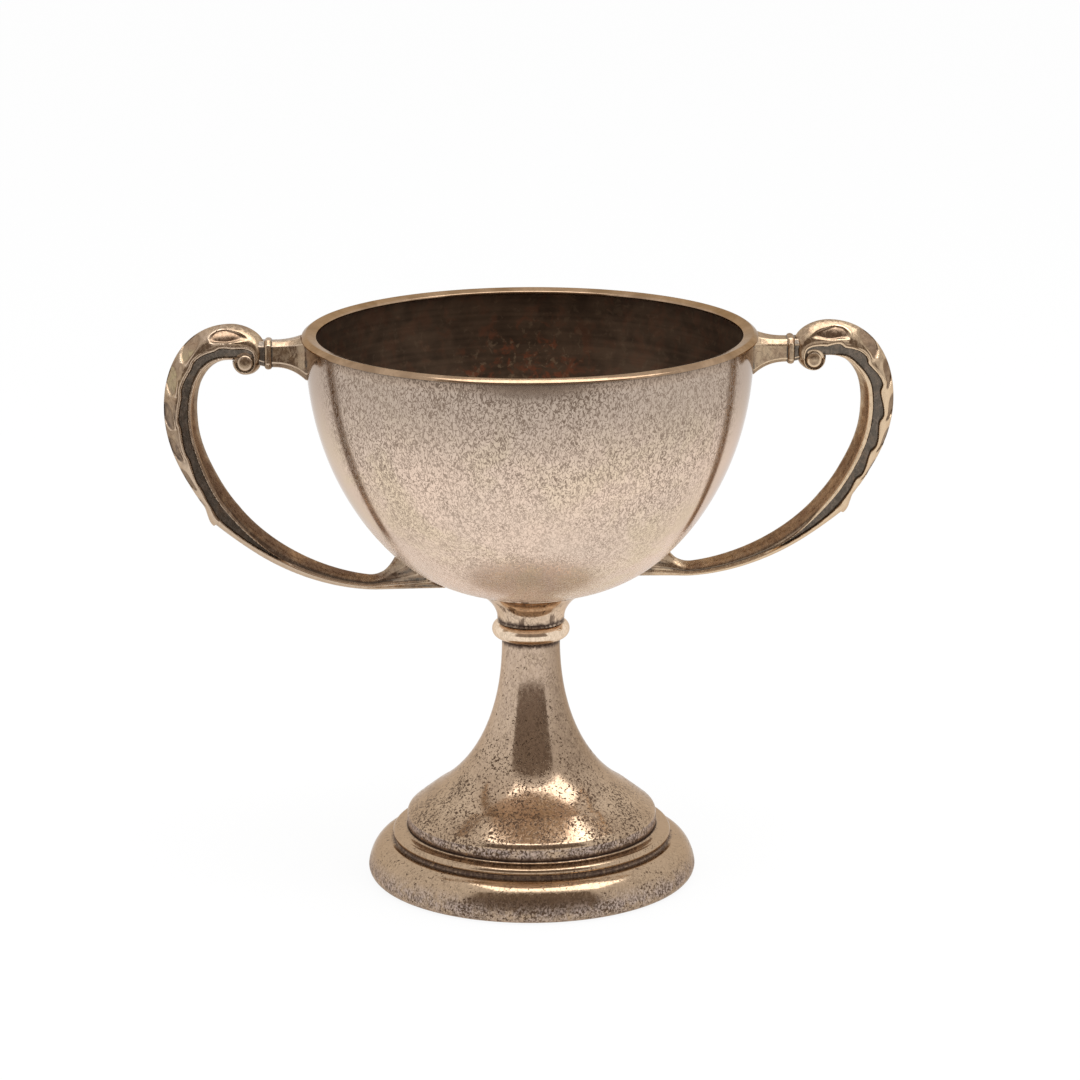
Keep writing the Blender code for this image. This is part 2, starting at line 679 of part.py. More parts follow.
def octagon_ring(reach, rise, drop, half_depth):
    """An upright ring with cut corners, at a distance out from the cup's axis, about the socket's middle."""
    cut = NECK_CHAMFER
    corners = [(-half_depth, cut - drop), (cut - half_depth, -drop), (half_depth - cut, -drop),
               (half_depth, cut - drop), (half_depth, rise - cut), (half_depth - cut, rise),
               (cut - half_depth, rise), (-half_depth, rise - cut)]
    return [(reach, depth, height) for depth, height in corners]


def neck_rings():
    """Faceted neck from inside the bowl's wall out to the collar and on into the scroll."""
    flange_end = BOWL_RADIUS + NECK_FLANGE_LENGTH
    collar_start = BOWL_RADIUS + COLLAR_REACH - COLLAR_THICKNESS / 2
    collar_end = collar_start + COLLAR_THICKNESS
    step = NECK_FLANGE_STEP
    rings = []
    for reach in (BOWL_RADIUS - ROOT_LENGTH, flange_end):
        rings.append(octagon_ring(reach, NECK_FLARE_RISE + step, NECK_FLARE_DROP + step,
                                  NECK_FLARE_HALF_DEPTH + step))
    count = 4
    for k in range(count + 1):
        share = k / count
        flare = (1 - share) ** 2
        rings.append(octagon_ring(blend(flange_end, collar_start, share) + 0.1 * step * (1 - share),
                                  blend(NECK_HALF_HEIGHT, NECK_FLARE_RISE, flare),
                                  blend(NECK_HALF_HEIGHT, NECK_FLARE_DROP, flare),
                                  blend(NECK_HALF_DEPTH, NECK_FLARE_HALF_DEPTH, flare)))
    edge = COLLAR_EDGE
    for reach, cut in ((collar_start + 0.1 * edge, edge), (collar_start + edge, 0.0),
                       (collar_end - edge, 0.0), (collar_end, edge)):
        half_height = COLLAR_HALF_HEIGHT - cut
        rings.append(octagon_ring(reach, half_height, half_height, COLLAR_HALF_DEPTH - cut))
    inside = BOWL_RADIUS + EYE_REACH - 0.7 * VOLUTE_SIDE_RADIUS
    rings.append(octagon_ring(inside, NECK_HALF_HEIGHT, 0.7 * NECK_HALF_HEIGHT, NECK_HALF_DEPTH))
    return rings


def as_guide(obj):
    obj.hide_render = True
    obj.display_type = "WIRE"


def disc_across(name, radius, half_length, collection):
    """A short round bar along Y through the eye of the scroll, in the handle's own frame."""
    work = bmesh.new()
    bmesh.ops.create_cone(work, cap_ends=True, segments=EYE_STEPS, radius1=radius, radius2=radius,
                          depth=2 * half_length)
    rim = [edge for edge in work.edges if abs(edge.verts[0].co.z - edge.verts[1].co.z) < half_length]
    bmesh.ops.bevel(work, geom=rim, offset=0.2 * radius, segments=1, affect="EDGES", profile=0.5)
    mesh = bpy.data.meshes.new(name)
    work.to_mesh(mesh)
    work.free()
    disc = bpy.data.objects.new(name, mesh)
    eye = eye_point()
    disc.location = (eye.x, 0.0, eye.y - SOCKET_Z)
    disc.rotation_euler = (pi / 2, 0.0, 0.0)
    collection.objects.link(disc)
    as_guide(disc)
    return disc


def handle_casting(collection):
    """One handle as a single casting: scroll, eye, collar, neck, arm and palm, in its own frame."""
    rings = volute_rings() + leaf_rings() + arm_rings() + palm_rings()
    scroll = bpy.data.objects.new("scroll_form", lofted_mesh("scroll_form", rings))
    neck = bpy.data.objects.new("neck_form", lofted_mesh("neck_form", neck_rings()))
    collection.objects.link(scroll)
    collection.objects.link(neck)
    eye = disc_across("eye_form", EYE_RADIUS, EYE_HALF_LENGTH, collection)
    floor_half_length = 0.44 * HANDLE_DEPTH - CHANNEL_DEPTH
    floor = disc_across("volute_floor_form", 0.97 * VOLUTE_RADIUS, floor_half_length, collection)
    for piece in (floor, eye, neck):
        add_boolean(scroll, piece, "UNION")
    bpy.context.view_layer.update()
    graph = bpy.context.evaluated_depsgraph_get()
    casting = bpy.data.meshes.new_from_object(scroll.evaluated_get(graph))
    casting.name = "handle_casting"
    for form in (scroll, neck, eye, floor):
        bpy.data.objects.remove(form)
    smooth_rounds(casting)
    return casting


def bowl_clearance(collection):
    """The space that the bowl and its rim wire take up, wider by the gap, for cutting the handles' ends."""
    side = [(radius, BOWL_BASE_Z + z) for radius, z in BOWL_LINE[:-1]]
    rim_radius = BOWL_RADIUS + RIM_OVERHANG + GAP
    rim_floor = RIM_TOP_Z - RIM_THICKNESS - GAP
    above = RIM_TOP_Z + SOCKET_DROP
    outline = [(0.0, above), (rim_radius, above), (rim_radius, rim_floor), (BOWL_RADIUS + GAP, rim_floor)]
    outline += offset_line(side, -GAP)[1:] + [(0.0, BOWL_BASE_Z - GAP)]
    space = turned("bowl_clearance", outline, 2 * BOWL_STEPS, collection, closed=False)
    as_guide(space)
    return space


def make_handles(collection, cutters):
    casting = handle_casting(cutters)
    casting.materials.append(make_material("handle_plate", (0.50, 0.39, 0.26), 0.36))
    space = bowl_clearance(cutters)
    for name, turn in (("handle_right", 0.0), ("handle_left", pi)):
        handle = bpy.data.objects.new(name, casting)
        handle.location = (0.0, 0.0, SOCKET_Z)
        handle.rotation_euler = (HANDLE_LEAN, 0.0, turn)
        collection.objects.link(handle)
        add_boolean(handle, space, "DIFFERENCE")


def build():
    for obj in list(bpy.data.objects):
        bpy.data.objects.remove(obj)
    parts = make_collection(COLLECTION)
    cutters = make_collection("cutters")
    make_foot(parts)
    make_stem(parts)
    make_washer(parts)
    make_nut(parts, cutters)
    make_stud(parts)
    make_knop(parts)
    make_collet(parts)
    make_bowl(parts)
    make_rim_wire(parts)
    make_handles(parts, cutters)


build()
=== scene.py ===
from math import acos, atan2, cos, hypot, pi, radians, sin, sqrt

import bmesh
import bpy
from mathutils import Euler, Matrix, Vector


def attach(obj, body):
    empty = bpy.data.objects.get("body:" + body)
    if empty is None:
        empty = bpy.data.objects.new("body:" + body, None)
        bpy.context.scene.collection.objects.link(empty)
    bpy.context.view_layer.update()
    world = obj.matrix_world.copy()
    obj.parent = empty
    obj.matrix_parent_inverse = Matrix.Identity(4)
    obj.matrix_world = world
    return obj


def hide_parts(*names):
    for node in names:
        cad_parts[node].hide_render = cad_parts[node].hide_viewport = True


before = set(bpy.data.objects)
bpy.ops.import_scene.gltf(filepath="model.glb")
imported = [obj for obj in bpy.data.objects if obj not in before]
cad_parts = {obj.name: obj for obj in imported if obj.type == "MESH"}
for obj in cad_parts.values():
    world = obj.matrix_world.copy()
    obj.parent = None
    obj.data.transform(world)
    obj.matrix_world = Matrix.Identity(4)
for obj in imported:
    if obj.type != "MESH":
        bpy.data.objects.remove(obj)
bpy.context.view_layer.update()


# Bowl.
# Spun over a chuck from one disc of plated metal. The plate outside is worn to a warm grey with a close
# grain of small scratches, and the inside has gone nearly black. It is soldered to the collet below it.
MM = 0.001
BOWL_RADIUS = 47.3
BOWL_LIP_Z = 119.08                # the rim wire lies on this edge
BOWL_UPRIGHT_Z = 116.48            # lower end of the upright stretch under the wire
BOWL_SIDE_DROP = 56.0
BOWL_SIDE_END = radians(49.6)
BOWL_ARC = 34.4                    # radius of the bottom's curve
BOWL_ARC_CENTRE = (6.24, 98.06)
BOWL_WALL = 1.2
SPILT_MIDDLE = (0.0, 46.0, 96.0)    # of the stains on the far wall inside
TURNING_SECTORS = 12               # a sector is spun, then laid round the axis
SECTOR_STEPS = 20
CREASE = radians(32)               # faces that meet at more than this keep a sharp edge


def spread(first, last, count):
    """Evenly spaced numbers, both ends included."""
    return [first + (last - first) * step / count for step in range(count + 1)]


def parallel_line(points, distance):
    """The line moved to its right-hand side by a distance."""
    moved = []
    for i, point in enumerate(points):
        before = points[max(i - 1, 0)]
        after = points[min(i + 1, len(points) - 1)]
        length = hypot(after[0] - before[0], after[1] - before[1])
        moved.append((point[0] + (after[1] - before[1]) * distance / length,
                      point[1] - (after[0] - before[0]) * distance / length))
    return moved


def turned_piece(name, outline, metal, closed=True):
    """Spin an outline once round the cup's axis.

    Its points are radius, height, and as far as they are given tarnish, inside and crust.
    """
    work = bmesh.new()
    layers = [work.verts.layers.float.new(finish) for finish in ("tarnish", "inside", "crust")]
    points = []
    for radius, height, *finish in outline:
        point = work.verts.new((radius * MM, 0.0, height * MM))
        for layer, value in zip(layers, finish):
            point[layer] = value
        points.append(point)
    for here, after in zip(points, points[1:]):
        work.edges.new((here, after))
    if closed:
        work.edges.new((points[-1], points[0]))
    sector = 2 * pi / TURNING_SECTORS
    bmesh.ops.spin(work, geom=work.verts[:] + work.edges[:], cent=(0, 0, 0), axis=(0, 0, 1),
                   angle=sector, steps=SECTOR_STEPS, use_merge=False)
    whole = work.verts[:] + work.edges[:] + work.faces[:]
    for k in range(1, TURNING_SECTORS):
        copy = bmesh.ops.duplicate(work, geom=whole)["geom"]
        bmesh.ops.rotate(work, verts=[item for item in copy if isinstance(item, bmesh.types.BMVert)],
                         cent=(0, 0, 0), matrix=Matrix.Rotation(k * sector, 3, "Z"))
    bmesh.ops.remove_doubles(work, verts=work.verts[:], dist=0.002 * MM)
    return finished_piece(name, work, metal)


def finished_piece(name, work, metal):
    """Turn the faces outwards, keep the sharp edges sharp, and put the mesh in the scene."""
    bmesh.ops.recalc_face_normals(work, faces=work.faces[:])
    for face in work.faces:
        face.smooth = True
    for edge in work.edges:
        edge.smooth = edge.calc_face_angle(0.0) < CREASE
    mesh = bpy.data.meshes.new(name)
    work.to_mesh(mesh)
    work.free()
    mesh.materials.append(metal)
    piece = bpy.data.objects.new(name, mesh)
    bpy.context.scene.collection.objects.link(piece)
    return piece


def bowl_outline():
    side = [(BOWL_RADIUS, BOWL_LIP_Z), (BOWL_RADIUS, BOWL_LIP_Z - 0.5), (BOWL_RADIUS, BOWL_UPRIGHT_Z + 1)]
    side += [(BOWL_RADIUS * cos(a), BOWL_UPRIGHT_Z - BOWL_SIDE_DROP * sin(a))
             for a in spread(0, BOWL_SIDE_END, 60)]
    radius, height = BOWL_ARC_CENTRE
    join = acos((side[-1][0] - radius) / BOWL_ARC)
    side += [(radius + BOWL_ARC * cos(a), height - BOWL_ARC * sin(a)) for a in spread(join, pi / 2, 36)[1:]]
    inner = parallel_line(side, BOWL_WALL)
    side += [(3.0, side[-1][1]), (0.0, side[-1][1])]
    inner += [(3.0, inner[-1][1]), (0.0, inner[-1][1])]
    outline = []
    for r, z in reversed(side):
        under_wire = max(0.0, 1 - (BOWL_LIP_Z - z) / 0.7)
        seam = max(0.0, 1 - abs(r - 12.6) / 0.7) if z < 70 else 0.0
        outline.append((r, z, max(under_wire, seam)))
    return outline + [(abs(r), min(z, BOWL_LIP_Z), 0.0, 1.0) for r, z in inner]


class Nodes:
    """A shader node tree, with a short way to add each kind of node that the surfaces are made of."""

    def __init__(self, tree):
        self.tree = tree

    def add(self, kind, sockets=None, **settings):
        """Add a node. A socket's value is a constant or the output that feeds it."""
        node = self.tree.nodes.new("ShaderNode" + kind)
        for setting, value in settings.items():
            setattr(node, setting, value)
        self.fill(node.inputs, sockets or {})
        return node

    def fill(self, inputs, sockets):
        for socket, value in sockets.items():
            if isinstance(value, bpy.types.NodeSocket):
                self.tree.links.new(value, inputs[socket])
            elif inputs[socket].type == "RGBA":
                inputs[socket].default_value = (*value, 1.0)
            else:
                inputs[socket].default_value = value

    def math(self, operation, first, second=0.5, clamp=False):
        return self.add("Math", {0: first, 1: second}, operation=operation, use_clamp=clamp).outputs[0]

    def times(self, *masks):
        product = masks[0]
        for mask in masks[1:]:
            product = self.math("MULTIPLY", product, mask, clamp=True)
        return product

    def highest(self, *masks):
        highest = masks[0]
        for mask in masks[1:]:
            highest = self.math("MAXIMUM", highest, mask, clamp=True)
        return highest

    def stretch(self, value, low, high, to_low=0.0, to_high=1.0):
        """Move a range of values to another one, with soft ends."""
        sockets = {"Value": value, "From Min": low, "From Max": high, "To Min": to_low, "To Max": to_high}
        return self.add("MapRange", sockets, interpolation_type="SMOOTHSTEP").outputs["Result"]

    def between(self, mask, none, full):
        """From one value where a mask is none to another where it is full, with soft ends."""
        return self.stretch(mask, 0.0, 1.0, none, full)

    def lay(self, under, over, *masks):
        """Lay one colour over another where all of the masks say."""
        sockets = {0: self.times(*masks), 6: under, 7: over}
        return self.add("Mix", sockets, data_type="RGBA").outputs[2]

    def mix(self, share, first, second):
        return self.add("Mix", {0: share, 2: first, 3: second}).outputs[0]

    def attribute(self, name):
        return self.add("Attribute", attribute_name=name).outputs["Fac"]

    def place(self, stretch=None):
        """Place on the object, in metres, each way stretched by a factor."""
        place = self.add("TexCoord").outputs["Object"]
        if stretch is None:
            return place
        return self.add("Mapping", {"Vector": place, "Scale": stretch}).outputs["Vector"]

    def height(self):
        return self.add("SeparateXYZ", {0: self.place()}).outputs["Z"]

    def facing(self):
        """None where a face looks at the eye, and full at its edge."""
        return self.add("LayerWeight", {"Blend": 0.5}).outputs["Facing"]

    def noise(self, place, scale, detail, output="Fac", **sockets):
        sockets = {"Vector": place, "Scale": scale, "Detail": detail, **sockets}
        return self.add("TexNoise", sockets).outputs[output]

    def group(self, group, **sockets):
        node = self.add("Group", node_tree=group)
        self.fill(node.inputs, sockets)
        return node.outputs

    def grain(self, scale, low, high):
        return self.group(WORN_GRAIN, Scale=scale, Low=low, High=high)

    def lines(self, scale, width):
        return self.group(WORM_LINES, Scale=scale, Width=width)["Line"]

    def clouds(self, scale, low=0.35, high=0.68):
        return self.group(CLOUDS, Scale=scale, Low=low, High=high)["Mask"]

    def finish(self, base, roughness, metallic, height, strength, depth, edge=(1.0, 1.0, 1.0)):
        """Feed the metal's shader, with the relief as a bump of a depth in millimetres."""
        bump = self.add("Bump", {"Height": height, "Strength": strength, "Distance": depth * MM})
        self.fill(self.tree.nodes["Principled BSDF"].inputs,
                  {"Base Color": base, "Roughness": roughness, "Metallic": metallic,
                   "Normal": bump.outputs["Normal"], "Specular Tint": edge})


def open_group(name, inputs, outputs):
    """A shader node group with number inputs at their usual values, and its outputs."""
    group = bpy.data.node_groups.new(name, "ShaderNodeTree")
    for socket, value in inputs.items():
        number = group.interface.new_socket(socket, in_out="INPUT", socket_type="NodeSocketFloat")
        number.default_value = value
    for socket in outputs:
        group.interface.new_socket(socket, in_out="OUTPUT", socket_type="NodeSocketFloat")
    given = group.nodes.new("NodeGroupInput").outputs
    return Nodes(group), given, group.nodes.new("NodeGroupOutput").inputs


def make_worn_grain():
    """Close grain of short scratches that run up and down, as years of polishing leave it."""
    nodes, given, made = open_group("worn_grain", {"Scale": 1700.0, "Low": 0.42, "High": 0.58},
                                    ("Fleck", "Height"))
    place = nodes.place((1.0, 1.0, 0.62))
    drift = nodes.noise(place, 260.0, 1.0, "Color")
    bent = nodes.add("VectorMath", {0: drift, 1: (0.0014, 0.0014, 0.0014)}, operation="MULTIPLY").outputs[0]
    bent = nodes.add("VectorMath", {0: place, 1: bent}, operation="ADD").outputs[0]
    grain = nodes.noise(bent, given["Scale"], 1.5, Roughness=0.55, Distortion=0.4)
    nodes.fill(made, {"Fleck": nodes.stretch(grain, given["Low"], given["High"]), "Height": grain})
    return nodes.tree


def make_worm_lines():
    """Thin wandering lines worn into the plate, a little longer upwards than across."""
    nodes, given, made = open_group("worm_lines", {"Scale": 1000.0, "Width": 0.06}, ("Line",))
    level = nodes.noise(nodes.place((1.0, 1.0, 0.58)), given["Scale"], 1.0, Roughness=0.5, Distortion=0.7)
    offset = nodes.math("ABSOLUTE", nodes.math("SUBTRACT", level, 0.5))
    nodes.fill(made, {"Line": nodes.stretch(offset, given["Width"], 0.0)})
    return nodes.tree


def make_pitting():
    """Small dark pits where the plate has let go, in loose clusters."""
    nodes, given, made = open_group("pitting", {"Scale": 1250.0, "Amount": 0.5}, ("Pit",))
    place = nodes.place((1.0, 1.0, 1.0))
    spots = nodes.noise(place, given["Scale"], 2.0, Roughness=0.5, Distortion=0.8)
    cluster = nodes.stretch(nodes.noise(place, 190.0, 2.0), 0.3, 0.7, -0.04, 0.04)
    reach = nodes.between(given["Amount"], 0.74, 0.5)
    edge = nodes.math("ADD", reach, 0.035)
    nodes.fill(made, {"Pit": nodes.stretch(nodes.math("ADD", spots, cluster), reach, edge)})
    return nodes.tree


def make_clouds():
    """Broad patches of tarnish, as a mask from none to full."""
    nodes, given, made = open_group("tarnish_clouds", {"Scale": 45.0, "Low": 0.35, "High": 0.68}, ("Mask",))
    cloud = nodes.noise(nodes.place((1.0, 1.0, 1.0)), given["Scale"], 4.0, Roughness=0.6, Distortion=0.5)
    nodes.fill(made, {"Mask": nodes.stretch(cloud, given["Low"], given["High"])})
    return nodes.tree


WORN_GRAIN = make_worn_grain()
WORM_LINES = make_worm_lines()
PITTING = make_pitting()
CLOUDS = make_clouds()


def new_metal(name):
    material = bpy.data.materials.new(name)
    material.use_nodes = True
    return material, Nodes(material.node_tree)


def bowl_metal():
    material, nodes = new_metal("bowl_worn_plate")
    height = nodes.height()
    grain = nodes.grain(1750.0, 0.40, 0.60)
    line = nodes.lines(1600.0, 0.105)
    open_face = nodes.stretch(nodes.facing(), 0.80, 0.50)
    outside = nodes.lay((0.87, 0.675, 0.54), (0.79, 0.63, 0.51), nodes.clouds(38.0))
    outside = nodes.lay(outside, (0.80, 0.66, 0.45), nodes.clouds(62.0, 0.42, 0.66), 0.55)
    upper = nodes.stretch(height, 94 * MM, 116 * MM)
    outside = nodes.lay(outside, (0.46, 0.375, 0.31), upper, 0.85)
    under_rim = nodes.stretch(height, 116.3 * MM, 118.6 * MM)
    outside = nodes.lay(outside, (0.46, 0.32, 0.22), under_rim, 0.4)
    wear = nodes.between(nodes.clouds(110.0), 0.42, 0.62)
    wear = nodes.math("ADD", wear, nodes.stretch(height, 72 * MM, 108 * MM, -0.10, 0.38))
    mark = nodes.times(line, wear, open_face)
    outside = nodes.lay(outside, (0.25, 0.18, 0.135), mark)
    outside = nodes.lay(outside, (0.36, 0.27, 0.21), grain["Fleck"], 0.22, open_face)
    outside = nodes.lay(outside, (0.06, 0.045, 0.035), nodes.attribute("tarnish"))

    rings = nodes.stretch(nodes.noise(nodes.place((0.03, 0.03, 1.0)), 900.0, 2.0), 0.30, 0.70)
    rings = nodes.mix(0.6, rings, nodes.clouds(170.0, 0.30, 0.70))
    inner = nodes.lay((0.060, 0.038, 0.024), (0.145, 0.092, 0.058), rings)
    reach = nodes.add("VectorMath", {0: nodes.place(), 1: [length * MM for length in SPILT_MIDDLE]},
                      operation="DISTANCE").outputs["Value"]
    spilt = nodes.stretch(reach, 24 * MM, 6 * MM)
    stain = nodes.times(nodes.clouds(330.0, 0.47, 0.64), nodes.between(spilt, 0.16, 0.95))
    speck = nodes.times(nodes.clouds(620.0, 0.56, 0.66), nodes.between(spilt, 0.15, 0.6))
    inner = nodes.lay(inner, (0.250, 0.085, 0.042), stain)
    inner = nodes.lay(inner, (0.30, 0.21, 0.13), speck)

    inside = nodes.attribute("inside")
    low = nodes.stretch(height, 84 * MM, 77 * MM)
    rough = nodes.between(nodes.highest(mark, nodes.times(low, line)), 0.12, 0.45)
    rough = nodes.mix(inside, nodes.math("ADD", rough, nodes.times(low, 0.12)), 0.42)
    metallic = nodes.between(nodes.highest(inside, low), 1.0, 0.72)
    nodes.finish(nodes.lay(outside, inner, inside), rough, metallic, grain["Height"], 0.15, 0.02,
                 (0.74, 0.69, 0.66))
    return material


bowl = turned_piece("bowl_spun", bowl_outline(), bowl_metal(), closed=False)
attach(bowl, "root")
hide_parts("bowl")


# Rim wire.
# A half-round wire bent to a ring and soldered on the bowl's edge, with its seam filed away. Hands and
# polishing cloths have kept it a bright pale gold, and a dark line of old polish lies under it.
RIM_OUTER = 48.2
RIM_WIDTH = 3.25
RIM_FLAT_Z = 119.08
RIM_THICKNESS = 1.1
RIM_EDGE = 0.22                    # upright part of its edge


def cubic(start, leave, arrive, end, count):
    """Points along a cubic curve, without its start."""
    points = []
    for t in spread(0, 1, count)[1:]:
        s = 1 - t
        weights = (s * s * s, 3 * s * s * t, 3 * s * t * t, t * t * t)
        corners = (start, leave, arrive, end)
        points.append(tuple(sum(w * c[axis] for w, c in zip(weights, corners)) for axis in (0, 1)))
    return points


def rim_outline():
    inner = RIM_OUTER - RIM_WIDTH
    top = RIM_FLAT_Z + RIM_THICKNESS
    crown = [(RIM_OUTER, RIM_FLAT_Z + 0.05), (RIM_OUTER, RIM_FLAT_Z + RIM_EDGE)]
    crown += cubic(crown[-1], (RIM_OUTER, RIM_FLAT_Z + 2 * RIM_EDGE), (RIM_OUTER - 0.33, top - 0.41),
                   (RIM_OUTER - 0.95, top - 0.02), 16)
    crown += cubic(crown[-1], (RIM_OUTER - 1.15, top + 0.06), (inner + 0.95, top - 0.26),
                   (inner + 0.4, top - 0.40), 16)
    crown += cubic(crown[-1], (inner + 0.1, top - 0.48), (inner, top - 0.65), (inner, RIM_FLAT_Z + 0.15), 8)
    outline = [(r, min(z, top)) for r, z in crown]
    return outline + [(inner + 0.1, RIM_FLAT_Z, 1.0), (RIM_OUTER - 0.1, RIM_FLAT_Z, 1.0)]


def rim_metal():
    material, nodes = new_metal("rim_polished_gold")
    grain = nodes.grain(1300.0, 0.35, 0.65)
    base = nodes.lay((0.44, 0.300, 0.195), (0.29, 0.190, 0.118), nodes.clouds(140.0))
    base = nodes.lay(base, (0.25, 0.17, 0.11), grain["Fleck"], 0.3)
    tarnish = nodes.attribute("tarnish")
    base = nodes.lay(base, (0.07, 0.05, 0.035), tarnish)
    rough = nodes.between(grain["Fleck"], 0.07, 0.15)
    metallic = nodes.between(tarnish, 1.0, 0.6)
    nodes.finish(base, rough, metallic, grain["Height"], 0.12, 0.02, (0.62, 0.52, 0.42))
    return material


rim = turned_piece("rim_wire_bead", rim_outline(), rim_metal())
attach(rim, "root")
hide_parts("rim_wire")


# Stem.
# A spun trumpet of the same plated metal, hollow to the top, that ends in an upright lip. The plate is
# worn to bronze gold and is full of small dark pits, most of all on the low dome over the foot.
STEM_TOP_Z = 52.5
STEM_BASE_Z = 11.0
STEM_TOP_RADIUS = 6.25
STEM_LIP_RADIUS = 27.0
STEM_LIP_Z = 13.7
STEM_TURN = (21.5, 18.8)           # where the hollow curve turns over into the dome
STEM_TURN_SLOPE = radians(37)
STEM_EDGE = (26.35, 14.95)         # where the dome rounds over to the lip
STEM_EDGE_SLOPE = radians(39)
# Down the lip: height, tarnish and crust.
STEM_LIP_CRUST = ((13.5, 0.0, 1.0), (12.8, 0.05, 1.0), (12.1, 0.30, 0.9), (11.5, 0.62, 0.5))
STEM_WALL = 1.1
STEM_HOLE = 2.8                    # for the tie stud


def stem_side():
    top = (STEM_TOP_RADIUS, STEM_TOP_Z)
    run = (cos(STEM_TURN_SLOPE), -sin(STEM_TURN_SLOPE))
    lip = (STEM_LIP_RADIUS, STEM_LIP_Z)
    fall = 0.77 * (STEM_TOP_Z - STEM_TURN[1])
    pull = 0.09 * (STEM_TURN[0] - STEM_TOP_RADIUS)
    bell = cubic(top, (top[0], top[1] - fall),
                 (STEM_TURN[0] - pull * run[0], STEM_TURN[1] - pull * run[1]), STEM_TURN, 64)
    steep = (cos(STEM_EDGE_SLOPE), -sin(STEM_EDGE_SLOPE))
    dome = cubic(STEM_TURN, (STEM_TURN[0] + 2.2 * run[0], STEM_TURN[1] + 2.2 * run[1]),
                 (STEM_EDGE[0] - 1.4 * steep[0], STEM_EDGE[1] - 1.4 * steep[1]), STEM_EDGE, 24)
    dome += cubic(STEM_EDGE, (STEM_EDGE[0] + 0.4 * steep[0], STEM_EDGE[1] + 0.4 * steep[1]),
                  (lip[0], lip[1] + 0.45), lip, 10)
    return [top] + bell + dome


def stem_outline():
    side = stem_side()
    inner = [point for point in parallel_line(side, STEM_WALL) if point[1] < STEM_TOP_Z - STEM_WALL]
    outline = [(STEM_HOLE, STEM_TOP_Z, 0.0, 1.0)]
    for r, z in side:
        under_knop = max(0.0, 1 - (STEM_TOP_Z - z) / 1.4)
        outline.append((r, z, 0.75 * under_knop))
    outline += [(STEM_LIP_RADIUS, z, tarnish, 0.0, crust) for z, tarnish, crust in STEM_LIP_CRUST]
    outline += [(STEM_LIP_RADIUS - 0.2, STEM_BASE_Z, 1.0)]
    outline += [(STEM_LIP_RADIUS - STEM_WALL, STEM_BASE_Z, 0.0, 1.0)]
    outline += [(r, z, 0.0, 1.0) for r, z in reversed(inner)]
    outline += [(inner[0][0], STEM_TOP_Z - STEM_WALL, 0.0, 1.0)]
    return outline + [(STEM_HOLE, STEM_TOP_Z - STEM_WALL, 0.0, 1.0)]


def pitted_gold(name, gold, worn, pale, lines, pits, pit_low, pit_high, pit_floor, streaks=0.0, right_side_shade=0.0):
    """Bronze gold plate, paler higher up, with worn lines, pits that thicken lower down, crust, and a painted
    shade at the right.
    """
    material, nodes = new_metal(name)
    across, _, height = nodes.add("SeparateXYZ", {0: nodes.place()}).outputs
    grain = nodes.grain(1500.0, 0.38, 0.62)
    amount = nodes.stretch(height, pit_high * MM, pit_low * MM, pit_floor, pits)
    pit = nodes.group(PITTING, Scale=1900.0, Amount=amount)["Pit"]
    open_face = nodes.stretch(nodes.facing(), 0.80, 0.45, 0.35, 1.0)
    base = nodes.lay(gold, worn, nodes.clouds(75.0))
    base = nodes.lay(base, pale, nodes.stretch(height, pit_low * MM, pit_high * MM))
    # Painted shade: darkens the right side, from 1 to 6 mm off the axis outwards and from 19 to 29 mm up and
    # higher, by the share given.
    base = nodes.lay(base, (0.27, 0.185, 0.125), nodes.stretch(across, 1 * MM, 6 * MM, 0.0, right_side_shade),
                     nodes.stretch(height, 19 * MM, 29 * MM))
    base = nodes.lay(base, (0.50, 0.37, 0.25), grain["Fleck"], 0.30)
    base = nodes.lay(base, (0.105, 0.064, 0.040), nodes.lines(1600.0, 0.115),
                     nodes.between(nodes.clouds(260.0), 0.35 * lines, lines), open_face)
    crust = nodes.times(nodes.attribute("crust"), nodes.clouds(330.0, 0.25, 0.6))
    crust_tone = nodes.lay((0.105, 0.077, 0.066), (0.57, 0.455, 0.395),
                           nodes.grain(2900.0, 0.40, 0.58)["Fleck"])
    base = nodes.lay(base, crust_tone, crust)
    base = nodes.lay(base, (0.105, 0.064, 0.040), pit, open_face)
    scratch = nodes.noise(nodes.place((1.0, 1.0, 0.06)), 700.0, 2.0)
    base = nodes.lay(base, (0.12, 0.075, 0.05), nodes.stretch(scratch, 0.56, 0.66), streaks)
    ragged = nodes.math("ADD", nodes.attribute("tarnish"), nodes.math("MULTIPLY", grain["Height"], 0.8))
    tarnish = nodes.stretch(ragged, 0.60, 1.25)
    base = nodes.lay(base, (0.085, 0.054, 0.042), tarnish)
    base = nodes.lay(base, (0.10, 0.07, 0.048), nodes.attribute("inside"))
    dull = nodes.highest(pit, tarnish, crust, nodes.times(grain["Fleck"], 0.35))
    rough = nodes.between(dull, 0.11, 0.46)
    metallic = nodes.between(nodes.highest(pit, tarnish), 1.0, 0.75)
    relief = nodes.math("SUBTRACT", grain["Height"], pit)
    nodes.finish(base, rough, metallic, relief, 0.2, 0.03, (0.76, 0.67, 0.59))
    return material


stem_gold = pitted_gold("stem_pitted_gold", (0.55, 0.405, 0.28), (0.43, 0.305, 0.205), (0.57, 0.43, 0.325),
                        lines=0.50, pits=0.76, pit_low=16, pit_high=44, pit_floor=0.40, right_side_shade=0.75)
stem = turned_piece("stem_trumpet", stem_outline(), stem_gold)
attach(stem, "root")
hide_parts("stem")


# Knop.
# A solid turned ring between the stem and the collet, held by the tie stud through its bore. Its round
# edge is polished, and the hollows above and below it are black.
KNOP_BASE_Z = 52.5
KNOP_TOP_Z = 57.4
KNOP_RADIUS = 8.35
KNOP_NECK = 7.1
KNOP_MIDDLE_Z = 54.95
KNOP_SWELL = 1.75                  # half the height of its round edge


